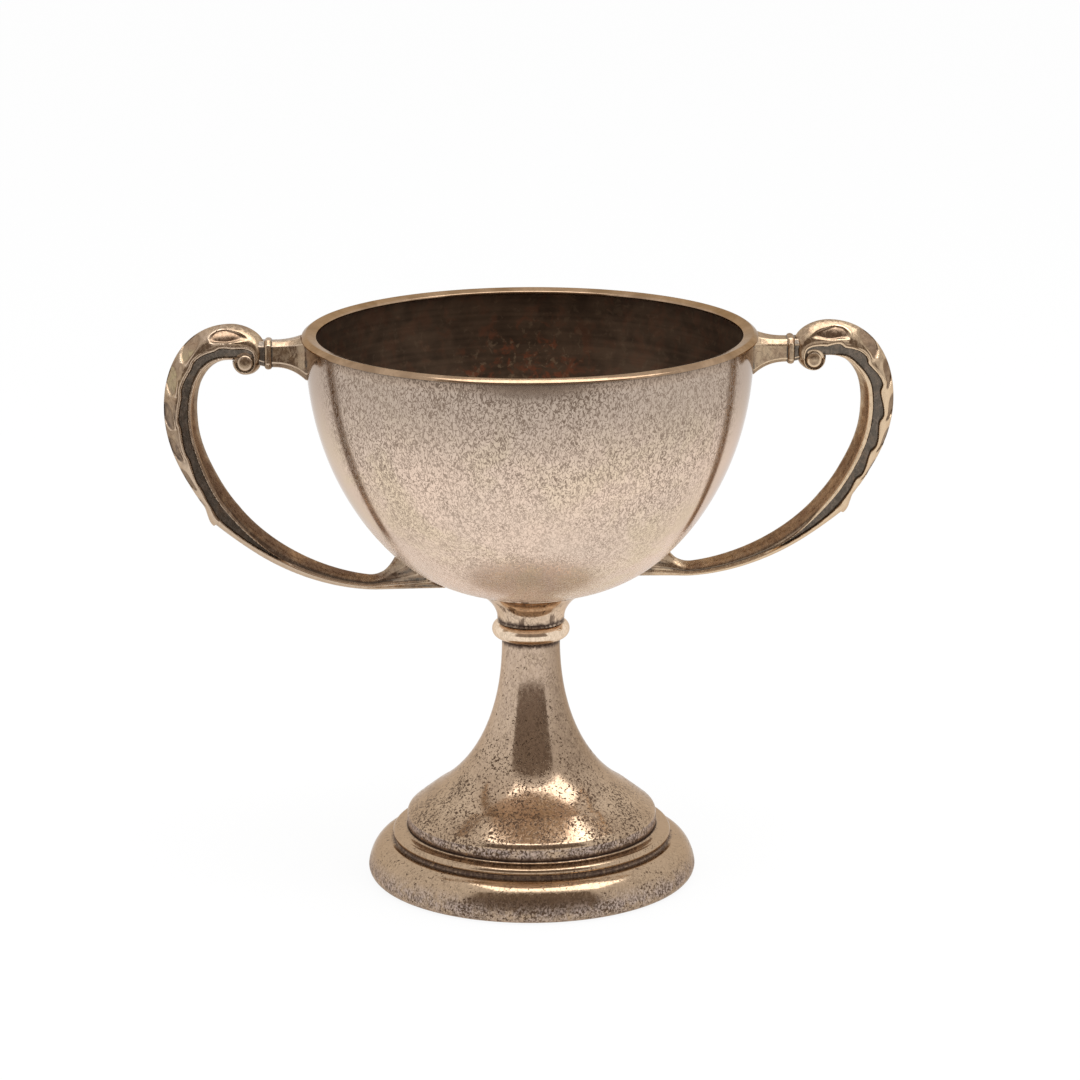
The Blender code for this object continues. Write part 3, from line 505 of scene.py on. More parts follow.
def knop_outline():
    end = radians(75)
    outline = [(STEM_HOLE, KNOP_TOP_Z, 0.0, 1.0), (6.8, KNOP_TOP_Z, 0.9)]
    for angle in spread(end, -end, 40):
        bulge = (cos(angle) - cos(end)) / (1 - cos(end))
        hidden = 0.62 * max(0.0, 1 - bulge / 0.45)
        outline.append((KNOP_NECK + (KNOP_RADIUS - KNOP_NECK) * bulge,
                        KNOP_MIDDLE_Z + KNOP_SWELL * sin(angle) / sin(end), hidden))
    return outline + [(6.45, KNOP_BASE_Z + 0.15, 0.8), (6.3, KNOP_BASE_Z, 0.8),
                      (STEM_HOLE, KNOP_BASE_Z, 0.0, 1.0)]


knop_gold = pitted_gold("knop_worn_gold", (0.90, 0.72, 0.55), (0.80, 0.63, 0.47), (0.90, 0.72, 0.55),
                        lines=0.20, pits=0.25, pit_low=50, pit_high=60, pit_floor=0.25)
knop = turned_piece("knop_ring", knop_outline(), knop_gold)
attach(knop, "root")
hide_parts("knop")


# Collet.
# A thin flared cup, spun from sheet, that the bowl sits in and is soldered to. A few dark scratches run
# down its front, and its upper edge is rubbed bright.
COLLET_BASE_Z = 57.4
COLLET_TOP_Z = 64.0
COLLET_TOP_RADIUS = 12.5
COLLET_BASE_RADIUS = 7.2
COLLET_WALL = 0.9
COLLET_WEB = 1.2


def bowl_height(radius):
    """Height of the bowl's underside at a radius near its bottom."""
    if radius < BOWL_ARC_CENTRE[0]:
        return BOWL_ARC_CENTRE[1] - BOWL_ARC
    return BOWL_ARC_CENTRE[1] - sqrt(BOWL_ARC ** 2 - (radius - BOWL_ARC_CENTRE[0]) ** 2)


def collet_outline():
    edge = (COLLET_TOP_RADIUS, COLLET_TOP_Z)
    base = (COLLET_BASE_RADIUS, COLLET_BASE_Z)
    spread_out = edge[0] - base[0]
    height = COLLET_TOP_Z - COLLET_BASE_Z
    flare = cubic(edge, (edge[0] - 0.55 * spread_out, edge[1] - 0.24 * height),
                  (base[0], base[1] + 0.42 * height), base, 40)
    inner = parallel_line([edge] + flare, COLLET_WALL)
    web_z = COLLET_BASE_Z + COLLET_WEB
    outline = [(COLLET_TOP_RADIUS - 0.35, bowl_height(COLLET_TOP_RADIUS - 0.35), 0.9)]
    for angle in spread(radians(95), radians(-50), 8):
        outline.append((COLLET_TOP_RADIUS - 0.2 + 0.24 * cos(angle), COLLET_TOP_Z + 0.24 * sin(angle),
                        0.7 if angle < radians(-30) else 0.0))
    for r, z in flare[1:]:
        foot = 0.72 * max(0.0, 1 - (z - COLLET_BASE_Z) / 1.2)
        outline.append((r, z, foot))
    outline += [(STEM_HOLE, COLLET_BASE_Z, 0.0, 1.0), (STEM_HOLE, web_z, 0.0, 1.0)]
    outline += [(r, z, 0.0, 1.0) for r, z in reversed(inner[2:]) if z > web_z]
    seat = COLLET_TOP_RADIUS - COLLET_WALL
    return outline + [(seat, bowl_height(seat), 0.0, 1.0)]


collet_gold = pitted_gold("collet_worn_gold", (0.76, 0.58, 0.43), (0.62, 0.47, 0.34), (0.76, 0.58, 0.43),
                          lines=0.45, pits=0.35, pit_low=56, pit_high=66, pit_floor=0.35, streaks=0.8)
collet = turned_piece("collet_flare", collet_outline(), collet_gold)
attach(collet, "root")
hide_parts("collet")


# Foot.
# A spun disc with a hollow underside and a flat ring to stand on. Under the stem's lip it has a small
# cove and a bead, and then a full round flank. The grooves are black and the lower edge is silvery.
FOOT_TOP_Z = 11.0
FOOT_RADIUS = 35.5
FOOT_SHOULDER = (30.9, 8.2)
FOOT_TOE_Z = 2.2
FOOT_REST_RADIUS = 33.63           # outer edge of the ring that it stands on
FOOT_REST_WIDTH = 3.0
FOOT_WALL = 1.1
FOOT_HOLE = 25.8                   # in its top, under the stem
FOOT_COVE = 27.15                  # where the cove starts, beside the lip
FOOT_BEAD = (29.2, 9.65)           # middle of the bead
FOOT_BEAD_SIZE = 0.94
BEAD_FLAT = 1.05                   # its face is a little flatter than a circle


def foot_outline():
    toe = (FOOT_RADIUS, FOOT_TOE_Z)
    width = FOOT_RADIUS - FOOT_SHOULDER[0]
    drop = FOOT_SHOULDER[1] - FOOT_TOE_Z
    flank = cubic(FOOT_SHOULDER, (FOOT_SHOULDER[0] + 0.58 * width, FOOT_SHOULDER[1] - 0.03 * drop),
                  (toe[0] - 0.07 * width, toe[1] + 0.47 * drop), toe, 40)
    toe_pull = 0.4 * FOOT_TOE_Z
    round_edge = cubic(toe, (FOOT_RADIUS, toe_pull), (FOOT_REST_RADIUS + toe_pull, 0.0),
                       (FOOT_REST_RADIUS, 0.0), 14)
    outline = [(FOOT_HOLE, FOOT_TOP_Z, 0.0, 1.0), (FOOT_COVE, FOOT_TOP_Z, 0.75)]
    cove = cubic((FOOT_COVE, FOOT_TOP_Z), (27.45, 10.6), (28.1, 10.75), (29.0, 10.52), 12)
    outline += [(r, z, 0.40 * max(0.0, 1 - (r - FOOT_COVE) / 1.3)) for r, z in cove]
    for angle in spread(radians(75), radians(-52), 24):
        rise = 1 if angle > 0 else -1
        outline.append((FOOT_BEAD[0] + FOOT_BEAD_SIZE * cos(angle) ** BEAD_FLAT,
                        FOOT_BEAD[1] + FOOT_BEAD_SIZE * rise * abs(sin(angle)) ** BEAD_FLAT,
                        0.62 if angle < radians(-25) else 0.0))
    outline += [(29.75, 8.6, 0.70), (29.95, 8.25, 0.70), (30.4, 8.1, 0.45),
                FOOT_SHOULDER + (0.15,)]
    for r, z in flank:
        low = max(0.0, min(1.0, (6.0 - z) / 3.0))
        outline.append((r, z, 0.28 * low, 0.0, 0.85 * low))
    outline += [(r, z, 0.25 if z > 0.2 else 0.8, 0.0, 0.6) for r, z in round_edge]
    rest_inner = FOOT_REST_RADIUS - FOOT_REST_WIDTH
    under = [(rest_inner, 0.0), (rest_inner, FOOT_WALL), (FOOT_RADIUS - 2 * FOOT_WALL, FOOT_WALL)]
    under += list(reversed(parallel_line([FOOT_SHOULDER] + flank, FOOT_WALL)))[4:]
    under += [(FOOT_BEAD[0] - FOOT_WALL, FOOT_SHOULDER[1] - FOOT_WALL), (FOOT_HOLE, FOOT_TOP_Z - FOOT_WALL)]
    return outline + [(r, z, 0.0, 1.0) for r, z in under]


foot_gold = pitted_gold("foot_pitted_gold", (0.48, 0.345, 0.23), (0.38, 0.27, 0.18), (0.46, 0.33, 0.22),
                        lines=0.45, pits=0.66, pit_low=1, pit_high=9, pit_floor=0.46)
foot = turned_piece("foot_disc", foot_outline(), foot_gold)
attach(foot, "root")
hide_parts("foot")


# Tie stud.
# A brass stud with a flat head, soldered under the bowl. It runs down through collet, knop and stem, and
# the nut inside the stem pulls all of them together.
STUD_RADIUS = 2.5
STUD_HEAD_RADIUS = 7.0
STUD_TOP_Z = 63.37
STUD_HEAD_Z = 61.87
STUD_TAIL_Z = 26.3
THREAD_TOP_Z = 36.0
THREAD_PITCH = 0.7
THREAD_DEPTH = 0.35


def stud_outline():
    outline = [(0.0, STUD_TOP_Z), (STUD_HEAD_RADIUS - 0.2, STUD_TOP_Z),
               (STUD_HEAD_RADIUS, STUD_TOP_Z - 0.2), (STUD_HEAD_RADIUS, STUD_HEAD_Z, 0.2),
               (STUD_RADIUS, STUD_HEAD_Z, 0.4), (STUD_RADIUS, THREAD_TOP_Z)]
    turns = int((THREAD_TOP_Z - STUD_TAIL_Z - 0.6) / THREAD_PITCH)
    for turn in range(turns):
        crest = THREAD_TOP_Z - turn * THREAD_PITCH
        outline += [(STUD_RADIUS, crest - 0.1),
                    (STUD_RADIUS - THREAD_DEPTH, crest - 0.35, 0.9),
                    (STUD_RADIUS, crest - 0.6)]
    return outline + [(STUD_RADIUS, STUD_TAIL_Z + 0.4),
                      (STUD_RADIUS - 0.4, STUD_TAIL_Z), (0.0, STUD_TAIL_Z)]


def old_brass(name, bright, dull):
    """Brass that was never plated and has darkened in spots."""
    material, nodes = new_metal(name)
    grain = nodes.grain(1200.0, 0.35, 0.65)
    cloud = nodes.clouds(160.0)
    base = nodes.lay(nodes.lay(bright, dull, cloud), (0.16, 0.10, 0.04), grain["Fleck"], 0.35)
    tarnish = nodes.attribute("tarnish")
    base = nodes.lay(base, (0.05, 0.035, 0.02), tarnish)
    nodes.finish(base, nodes.between(cloud, 0.28, 0.45), nodes.between(tarnish, 1.0, 0.6),
                 grain["Height"], 0.3, 0.03)
    return material


stud_brass = old_brass("stud_old_brass", (0.50, 0.34, 0.14), (0.30, 0.20, 0.09))
stud = turned_piece("tie_stud_rod", stud_outline(), stud_brass, closed=False)
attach(stud, "root")
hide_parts("tie_stud")


# Bridge washer.
# A thick brass disc with a tapered edge that wedges inside the stem, so that the nut has something to
# pull against. The faint rings on it are from the lathe.
WASHER_TOP_Z = 33.3
WASHER_BASE_Z = 31.8
WASHER_HOLE = 2.8


def stem_bore(height):
    """Radius of the stem's hollow at a height."""
    inner = parallel_line(stem_side(), STEM_WALL)
    for (r1, z1), (r2, z2) in zip(inner, inner[1:]):
        if z2 <= height <= z1:
            return r1 + (r2 - r1) * (z1 - height) / (z1 - z2)


def washer_outline():
    top_radius = stem_bore(WASHER_TOP_Z) - 0.3
    base_radius = stem_bore(WASHER_BASE_Z) - 0.3
    return [(WASHER_HOLE, WASHER_TOP_Z, 0.3), (top_radius - 0.15, WASHER_TOP_Z),
            (top_radius, WASHER_TOP_Z - 0.15), (base_radius, WASHER_BASE_Z + 0.2),
            (base_radius - 0.25, WASHER_BASE_Z), (6.0, WASHER_BASE_Z),
            (5.8, WASHER_BASE_Z + 0.08, 0.6), (5.6, WASHER_BASE_Z),
            (WASHER_HOLE + 0.2, WASHER_BASE_Z, 0.2), (WASHER_HOLE, WASHER_BASE_Z + 0.2, 0.4)]


washer_brass = old_brass("washer_old_brass", (0.46, 0.32, 0.14), (0.27, 0.18, 0.08))
washer = turned_piece("bridge_washer_disc", washer_outline(), washer_brass)
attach(washer, "root")
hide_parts("bridge_washer")


# Tie nut.
# A six-sided brass nut with its corners turned off, drawn up under the washer.
NUT_TOP_Z = 31.5
NUT_BASE_Z = 27.5
NUT_ACROSS_FLATS = 8.0
NUT_BORE = 2.6
NUT_FACE = 3.8                     # radius of its flat faces, inside the turned corners
NUT_CHAMFER = 0.58                 # fall of the turned corners for each millimetre outwards


def make_nut():
    """Turned as a ring, whose outer wall is then drawn out to six flats with turned corners."""
    flat = NUT_ACROSS_FLATS / 2
    ring = [(NUT_BORE, 0.5), (NUT_FACE, 0.0), (flat, 0.0)]
    outline = [(r, NUT_BASE_Z, tarnish) for r, tarnish in ring]
    outline += [(r, NUT_TOP_Z, tarnish) for r, tarnish in reversed(ring)]
    brass = old_brass("nut_old_brass", (0.52, 0.36, 0.15), (0.31, 0.21, 0.09))
    piece = turned_piece("tie_nut_hex", outline, brass)
    for vert in piece.data.vertices:
        if hypot(vert.co.x, vert.co.y) < (NUT_FACE + flat) / 2 * MM:
            continue
        turn = atan2(vert.co.y, vert.co.x)
        reach = flat / cos(turn % (pi / 3) - pi / 6)
        drop = (reach - NUT_FACE) * NUT_CHAMFER
        height = NUT_BASE_Z + drop if vert.co.z < (NUT_BASE_Z + NUT_TOP_Z) / 2 * MM else NUT_TOP_Z - drop
        vert.co = Vector((reach * cos(turn), reach * sin(turn), height)) * MM
    piece.data.set_sharp_from_angle(angle=CREASE)
    return piece


nut = make_nut()
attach(nut, "root")
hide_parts("tie_nut")


# Handles.
# Two castings from one pattern: a scroll with a round eye, a leafed grip with a channel on each side, a
# spur, an arm, and a fluted palm. A faceted neck with a collar joins each to the bowl, and both ends are
# soldered. The edges are rubbed to bright gold and the hollows are black.
SOCKET_Z = 115.78
HANDLE_LEAN = radians(5.0)
EYE = (60.0, 114.08)
EYE_INNER = 0.875                  # where the scroll's section starts, from the middle of the eye
CROWN = (3.0, 4.545)               # of the bar's middle line from the eye, where it runs level
GRIP = (13.88, -9.8)               # where it runs straight down
GRIP_END = (8.5, -26.6)            # where it has turned inwards
GRIP_END_SLOPE = radians(59.4)
LANDING_RADIUS = 23.6
ANKLE = (8.0, -1.9)                # of the arm's thinnest place from the landing
CROWN_WIDTH = 7.05                 # of the bar, from its inner to its outer side
CROWN_SWELL = 0.65                 # by which its inner side is fuller at the crown
SPUR_WIDTH = 5.8
HEEL_WIDTH = 6.0
ANKLE_WIDTH = 3.1
VOLUTE_RADII = (2.75, 3.3, 7.4)    # of the curled end: below the eye, beside it and above it
VOLUTE_CHANNEL = (1.60, 1.98)      # radii of the channel's walls round the eye
SCROLL_WALLS = (0.11, 0.345)       # places across the bar of the channel's walls over the eye
SCROLL_BEAD = 0.02
ARM_WALLS = (0.60, 0.63)           # to which the channel closes on the arm
ARM_BEAD = 0.04
BAR_DEPTH = 6.6
ANKLE_DEPTH = 4.4
PALM_DEPTH = 8.5
PALM_REACH = 6.5
CHANNEL_DEPTH = 0.6
FLUTE_DEPTH = 0.30
FLUTE_PITCH = 0.25
FLUTE_CRESTS = (0.2, 0.45, 0.70)   # places across the palm
HOLLOW_DEPTH = 0.55                # of the leaf's lobes
LEAF_SHARE = 0.54
LEAF_LOBES = 7
FIRST_LOBE = 4.3                   # length of the first lobe past the crown
LOBE_STATIONS = 28
CROWN_PHASE = 0.35                 # how far the first lobe has opened at the crown
CHANNEL_END = 0.45                 # place along the arm where the channel runs out
SPUR_LENGTH = 1.2
SPUR_OVERHANG = 0.7
# Back under the spur's tip: length past it, and how far the bar's outer side lies ahead and out.
SPUR_UNDERSIDE = ((0.10, 0.75, 1.12), (0.22, 0.62, 0.98), (0.36, 0.45, 0.82), (0.52, 0.28, 0.69),
                  (0.75, 0.10, 0.60))
ANKLE_RISE = 0.9                   # of the arm's inner side, where it turns up to the palm
SPUR_HEEL = 0.55                   # what the arm keeps of the spur's height behind it
BORDER_WIDTH = 0.09                # of the ridge between channel and leaf, as a share of the bar
SECTION_POINTS = 80                # on each face of the bar
EYE_RADIUS = 1.65
NECK_LENGTH = 7.05                 # from the bowl to the collar
COLLAR_WIDTH = 1.5
SOLDER_BITE = 0.35                 # by which both ends go into the bowl's wall
CREST_HALF = 0.03                  # least half thickness, where a hollow reaches the bar's edge
# Down each leaf: place along it, and places across the bar of the channel's two walls.
CHANNEL_PATHS = {"right": ((0.0, 0.06, 0.33), (0.18, 0.20, 0.47), (0.38, 0.35, 0.61), (1.0, 0.42, 0.69)),
                 "left": ((0.0, 0.11, 0.33), (0.25, 0.22, 0.44), (0.60, 0.29, 0.53), (1.0, 0.46, 0.74))}
BEAD_WIDTH = {"right": 0.15, "left": 0.12}     # of the bead on the channel's inner side
WALL_WAVE = {"right": 0.10, "left": 0.05}       # how far each lobe pushes the channel's outer wall
# How bare the leaf is rubbed: place along it, and bareness.
LEAF_BARE = {"right": ((0.0, 0.30), (0.25, 0.40), (0.45, 0.90), (1.0, 1.0)),
             "left": ((0.0, 0.35), (0.22, 0.30), (0.35, 0.10), (0.60, 0.35), (0.80, 0.85), (1.0, 0.9))}


def soft_step(value, low, high):
    share = min(max((value - low) / (high - low), 0.0), 1.0)
    return share * share * (3 - 2 * share)


def window(value, low, high, soft):
    """One between two values and zero beyond them, with soft ends."""
    return soft_step(value, low - soft, low + soft) * (1 - soft_step(value, high - soft, high + soft))


def bump(value, middle, half):
    return 1 - soft_step(abs(value - middle), 0.0, half)


def mixed(first, last, share):
    share = min(max(share, 0.0), 1.0)
    return first + (last - first) * share


def along_path(path, share):
    """Values at a share of the leaf's length, from a table that starts each row with its place."""
    for before, after in zip(path, path[1:]):
        if share <= after[0]:
            turn = soft_step(share, before[0], after[0])
            return tuple(mixed(first, last, turn) for first, last in zip(before[1:], after[1:]))
    return path[-1][1:]


def face_reach(place, walls):
    """Half thickness of the plain bar at a place across it, as a share of its full half thickness."""
    inside = max(0.12, 0.8 * walls[0])
    outside = max(0.5, walls[1] + 0.05)
    if place < inside:
        return 0.90 * sin(pi / 2 * place / inside) ** 0.8
    if place < outside:
        return 0.90 + 0.10 * (place - inside) / (outside - inside)
    return max(0.0, cos(pi / 2 * (place - outside) / (1 - outside))) ** 0.72


def lobe_hollow(place, phase, edge, crown):
    """The hollow of one leaf lobe and the ridge round its far end. The crown's own lobe is the narrowest."""
    across = (place - edge) / (1 - edge)
    middle, half = (0.44, 0.34) if crown else (0.66 - 0.55 * (phase - 0.5), 0.42)
    reach = ((phase - 0.55) / 0.43) ** 2 + ((across - middle) / half) ** 2
    return 1 - soft_step(reach, 0.50, 1.05), bump(reach, 1.15, 0.45) * soft_step(phase, 0.3, 0.7)


def bar_section(inner, outer, depth, walls, bead, channel=1.0, lobe=None, crown=False, wave=0.0, leaf=1.0,
                leaf_bare=0.0, flute=0.0, arm=0.0, overhang=Vector((0, 0))):
    """One cross-section of the bar. Its points are out, across, up, tarnish, bareness and hollow."""
    outer_wall = walls[1]
    if lobe is not None:
        outer_wall += wave * (soft_step(lobe, 0.0, 0.7) - soft_step(lobe, 0.72, 1.0) - 0.4) * leaf
    edge = outer_wall + BORDER_WIDTH
    side = []
    for place in spread(0, 1, SECTION_POINTS):
        in_channel = window(place, walls[0], outer_wall, 0.022) * channel
        wall = max(bump(place, walls[0] + 0.015, 0.025), bump(place, outer_wall - 0.02, 0.035))
        on_bead = window(place, walls[0] - bead, walls[0] - 0.014, 0.024) * channel
        on_border = window(place, outer_wall + 0.01, edge, 0.02)
        hollow, ridge = 0.0, 0.0
        if lobe is not None and place > edge:
            hollow, ridge = (leaf * value for value in lobe_hollow(place, lobe, edge, crown))
        waves = 0.5 - 0.5 * cos(2 * pi * (place - FLUTE_CRESTS[0]) / FLUTE_PITCH)
        in_flute = window(place, FLUTE_CRESTS[0], 0.95, 0.02) * waves * flute
        reach = face_reach(place, walls) * depth / 2 + 0.10 * on_bead + 0.14 * on_border * max(channel, 0.4)
        reach += 0.08 * ridge - CHANNEL_DEPTH * in_channel - HOLLOW_DEPTH * hollow - FLUTE_DEPTH * in_flute
        tarnish = max(0.56 * in_channel, 0.66 * (wall * in_channel), 0.50 * in_flute, 0.15 * flute,
                      arm * 0.60 * bump(place, 0.47, 0.045) * (1 - channel))
        bare = max(on_bead, on_border * (1 - flute), 0.9 * ridge)
        if lobe is not None:
            bare = max(bare, leaf_bare * soft_step(place, edge - 0.02, edge)) * (1 - hollow)
        rubbed_from = mixed(0.52, outer_wall + 0.03, channel)
        bare = max(bare, arm * window(place, rubbed_from, 0.97, 0.03),
                   0.8 * flute * window(place, 0.93, 1.0, 0.02),
                   *(0.55 * flute * bump(place, crest, 0.04) for crest in FLUTE_CRESTS))
        side.append((place, max(reach, CREST_HALF) if 0 < place < 1 else 0.0, tarnish, bare, hollow))
    ring = []
    for place, reach, *finish in side + [(place, -reach, *finish) for place, reach, *finish in side[-2:0:-1]]:
        beyond = max(0.0, (place - 0.62) / 0.38)
        point = inner + (outer - inner) * place + overhang * beyond
        ring.append((point.x, reach, point.y - SOCKET_Z, *finish))
    return ring


def volute_radius(angle):
    """Outer radius of the scroll's curled end, by the angle turned from straight down."""
    below, beside, above = VOLUTE_RADII
    if angle < pi / 2:
        return mixed(below, beside, soft_step(angle, 0.0, pi / 2))
    past = angle / (pi / 2) - 1
    return mixed(beside, above, past * (1.3 - 0.3 * past))


def volute_sections(side):
    """The curled end, from its tip round under the eye and up to the crown."""
    eye = Vector(EYE)
    last = radians(150)
    for angle in spread(radians(-95), last, 80):
        outward = Vector((-sin(angle), -cos(angle)))
        reach = volute_radius(angle)
        opening = soft_step(angle, radians(75), last)
        walls = tuple(mixed((radius - EYE_INNER) / (reach - EYE_INNER), wall, opening)
                      for radius, wall in zip(VOLUTE_CHANNEL, SCROLL_WALLS))
        yield bar_section(eye + outward * EYE_INNER, eye + outward * reach, BAR_DEPTH, walls, SCROLL_BEAD,
                          channel=mixed(0.4, 1.0, opening))
    inner_start = eye + outward * EYE_INNER
    outer_start = eye + outward * volute_radius(last)
    crown = eye + Vector(CROWN)
    inner_end = crown - Vector((0, CROWN_WIDTH / 2 + CROWN_SWELL))
    outer_end = crown + Vector((0, CROWN_WIDTH / 2))
    inner_line = cubic(inner_start, inner_start + Vector((0.8, 0.35)),
                       inner_end - Vector((0.9, 0)), inner_end, 30)
    outer_line = cubic(outer_start, outer_start + Vector((1.5, 1.72)),
                       outer_end - Vector((2.1, 0)), outer_end, 30)
    crown_walls = along_path(CHANNEL_PATHS[side], 0.0)
    for inner, outer, share in zip(inner_line[:-1], outer_line[:-1], spread(0, 1, 30)[1:]):
        walls = tuple(mixed(start, end, share) for start, end in zip(SCROLL_WALLS, crown_walls))
        yield bar_section(Vector(inner), Vector(outer), BAR_DEPTH, walls,
                          mixed(SCROLL_BEAD, BEAD_WIDTH[side], share), lobe=CROWN_PHASE * share, crown=True,
                          leaf_bare=0.3 * share)


def handle_landing():
    """Middle of the palm on the bowl, with the directions along the bowl and into it."""
    slope = (LANDING_RADIUS - BOWL_ARC_CENTRE[0]) / BOWL_ARC
    along = Vector((sqrt(1 - slope * slope), slope))
    return Vector((LANDING_RADIUS, bowl_height(LANDING_RADIUS))), along, Vector((-along.y, along.x))


def middle_line():
    eye = Vector(EYE)
    crown, grip, grip_end = (eye + Vector(place) for place in (CROWN, GRIP, GRIP_END))
    ankle = handle_landing()[0] + Vector(ANKLE)
    run = Vector((-cos(GRIP_END_SLOPE), -sin(GRIP_END_SLOPE)))
    fall = grip.y - grip_end.y
    reach = (grip_end - ankle).length
    points = [crown]
    points += cubic(crown, crown + Vector((0.66 * (grip.x - crown.x), 0)),
                    grip + Vector((0, 0.53 * (crown.y - grip.y))), grip, 120)
    points += cubic(grip, grip - Vector((0, 0.35 * fall)), grip_end - 0.44 * fall * run, grip_end, 120)
    points += cubic(grip_end, grip_end + 0.40 * reach * run, ankle + Vector((0.27 * reach, 0)), ankle, 160)
    return [Vector(point) for point in points]


BAR_LINE = middle_line()
BAR_MARKS = [0.0]                  # length of the line up to each of its points
for here, after in zip(BAR_LINE, BAR_LINE[1:]):
    BAR_MARKS.append(BAR_MARKS[-1] + (after - here).length)


def along_bar(distance):
    """Place, direction and outward direction at a distance along the bar's middle line."""
    last = len(BAR_MARKS) - 1
    i = next((k for k, mark in enumerate(BAR_MARKS) if mark >= distance and k > 0), last)
    here, after = BAR_LINE[i - 1], BAR_LINE[i]
    along = (BAR_LINE[min(i + 1, last)] - BAR_LINE[max(i - 2, 0)]).normalized()
    share = (distance - BAR_MARKS[i - 1]) / (BAR_MARKS[i] - BAR_MARKS[i - 1])
    return here + (after - here) * min(share, 1.0), along, Vector((-along.y, along.x))


def leaf_sections(side):
    """The grip from the crown to the spur's tip, with its overlapping lobes."""
    spur = LEAF_SHARE * BAR_MARKS[-1]
    lobe = (spur - FIRST_LOBE) / (LEAF_LOBES - 1)
    places = [(FIRST_LOBE * share, mixed(CROWN_PHASE, 1.0, share)) for share in spread(0, 1, 24)[:-1]]
    places += [(FIRST_LOBE + lobe * k / LOBE_STATIONS, k % LOBE_STATIONS / LOBE_STATIONS)
               for k in range((LEAF_LOBES - 1) * LOBE_STATIONS)]
    for place, phase in places + [(spur, 1.0)]:
        middle, along, outward = along_bar(place)
        share = place / spur
        half = mixed(CROWN_WIDTH, SPUR_WIDTH, 2 * share - 1) / 2
        inner_half = half + mixed(CROWN_SWELL, 0.0, share / 0.3)
        flare = soft_step(share, 0.92, 0.99)
        yield bar_section(middle - outward * inner_half, middle + outward * half, BAR_DEPTH,
                          along_path(CHANNEL_PATHS[side], share), BEAD_WIDTH[side], lobe=phase,
                          crown=place < FIRST_LOBE, wave=WALL_WAVE[side],
                          leaf=1 - soft_step(share, 0.86, 0.96),
                          leaf_bare=along_path(LEAF_BARE[side], share)[0],
                          overhang=(along * SPUR_OVERHANG + outward * SPUR_LENGTH) * flare)


def arm_sections(side):
    """Back under the spur's tip, and then the plain arm down to the ankle."""
    start = LEAF_SHARE * BAR_MARKS[-1]
    walls = along_path(CHANNEL_PATHS[side], 1.0)
    bead = BEAD_WIDTH[side]
    for past, ahead, lift in SPUR_UNDERSIDE:
        middle, along, outward = along_bar(start + past)
        half = outward * (SPUR_WIDTH / 2)
        yield bar_section(middle - half, middle + half, BAR_DEPTH, walls, bead, lobe=1.0, leaf=0.0,
                          leaf_bare=0.9, arm=past, overhang=along * ahead + outward * lift)
    for share in spread(0, 1, 100):
        middle, along, outward = along_bar(mixed(start + 1.0, BAR_MARKS[-1], share))
        taper = share ** 0.8
        heel = SPUR_HEEL * max(0.0, 1 - share / 0.25) ** 2
        rising = ANKLE_RISE * max(0.0, (share - 0.91) / 0.09) ** 2
        close = soft_step(share, 0.0, CHANNEL_END)
        narrowed = tuple(mixed(wall, closed, close) for wall, closed in zip(walls, ARM_WALLS))
        yield bar_section(middle - outward * (mixed(SPUR_WIDTH, ANKLE_WIDTH, taper) / 2 + rising),
                          middle + outward * mixed(HEEL_WIDTH, ANKLE_WIDTH, taper) / 2,
                          mixed(BAR_DEPTH, ANKLE_DEPTH, share), narrowed, mixed(bead, ARM_BEAD, share / 0.3),
                          channel=1 - soft_step(share, CHANNEL_END - 0.15, CHANNEL_END + 0.05),
                          arm=mixed(0.8, 1.0, 10 * share), overhang=outward * heel)


def palm_sections():
    """The ankle opens into a fluted palm that lies on the bowl."""
    ankle, along, outward = along_bar(BAR_MARKS[-1])
    land, along_bowl, into_bowl = handle_landing()
    lower = land - along_bowl * PALM_REACH
    upper = land + along_bowl * PALM_REACH
    ankle_outer = ankle + outward * (ANKLE_WIDTH / 2)
    ankle_inner = ankle - outward * (ANKLE_WIDTH / 2 + ANKLE_RISE)
    upper_line = cubic(ankle_inner, ankle_inner + Vector((-0.85, 0.48)),
                       upper - into_bowl * 0.20 * PALM_REACH, upper, 36)
    for point, share in zip(upper_line, spread(0, 1, 36)[1:]):
        outer = ankle_outer + (lower - ankle_outer) * share
        yield bar_section(Vector(point), outer, mixed(ANKLE_DEPTH, PALM_DEPTH, share * share), ARM_WALLS,
                          ARM_BEAD, channel=0.0, flute=soft_step(share, 0.0, 0.8), arm=1 - share)


def octagon_section(reach, rise, drop, half_depth, tarnish, line=0.7):
    """An eight-sided ring across the neck, with a narrow bright line down each of its corners."""
    cut = 0.38 * min(rise, half_depth)
    corners = [(-half_depth, cut - drop), (cut - half_depth, -drop), (half_depth - cut, -drop),
               (half_depth, cut - drop), (half_depth, rise - cut), (half_depth - cut, rise),
               (cut - half_depth, rise), (-half_depth, rise - cut)]
    ring = []
    for k, corner in enumerate(corners):
        here = Vector(corner)
        before = (Vector(corners[k - 1]) - here).normalized()
        after = (Vector(corners[(k + 1) % 8]) - here).normalized()
        marks = ((before * 0.34, 0.0), (before * 0.12, line), (after * 0.12, line), (after * 0.34, 0.0))
        for offset, bare in marks:
            point = here + offset
            ring.append((reach, point.x, point.y, tarnish, bare, 0.0))
    return ring


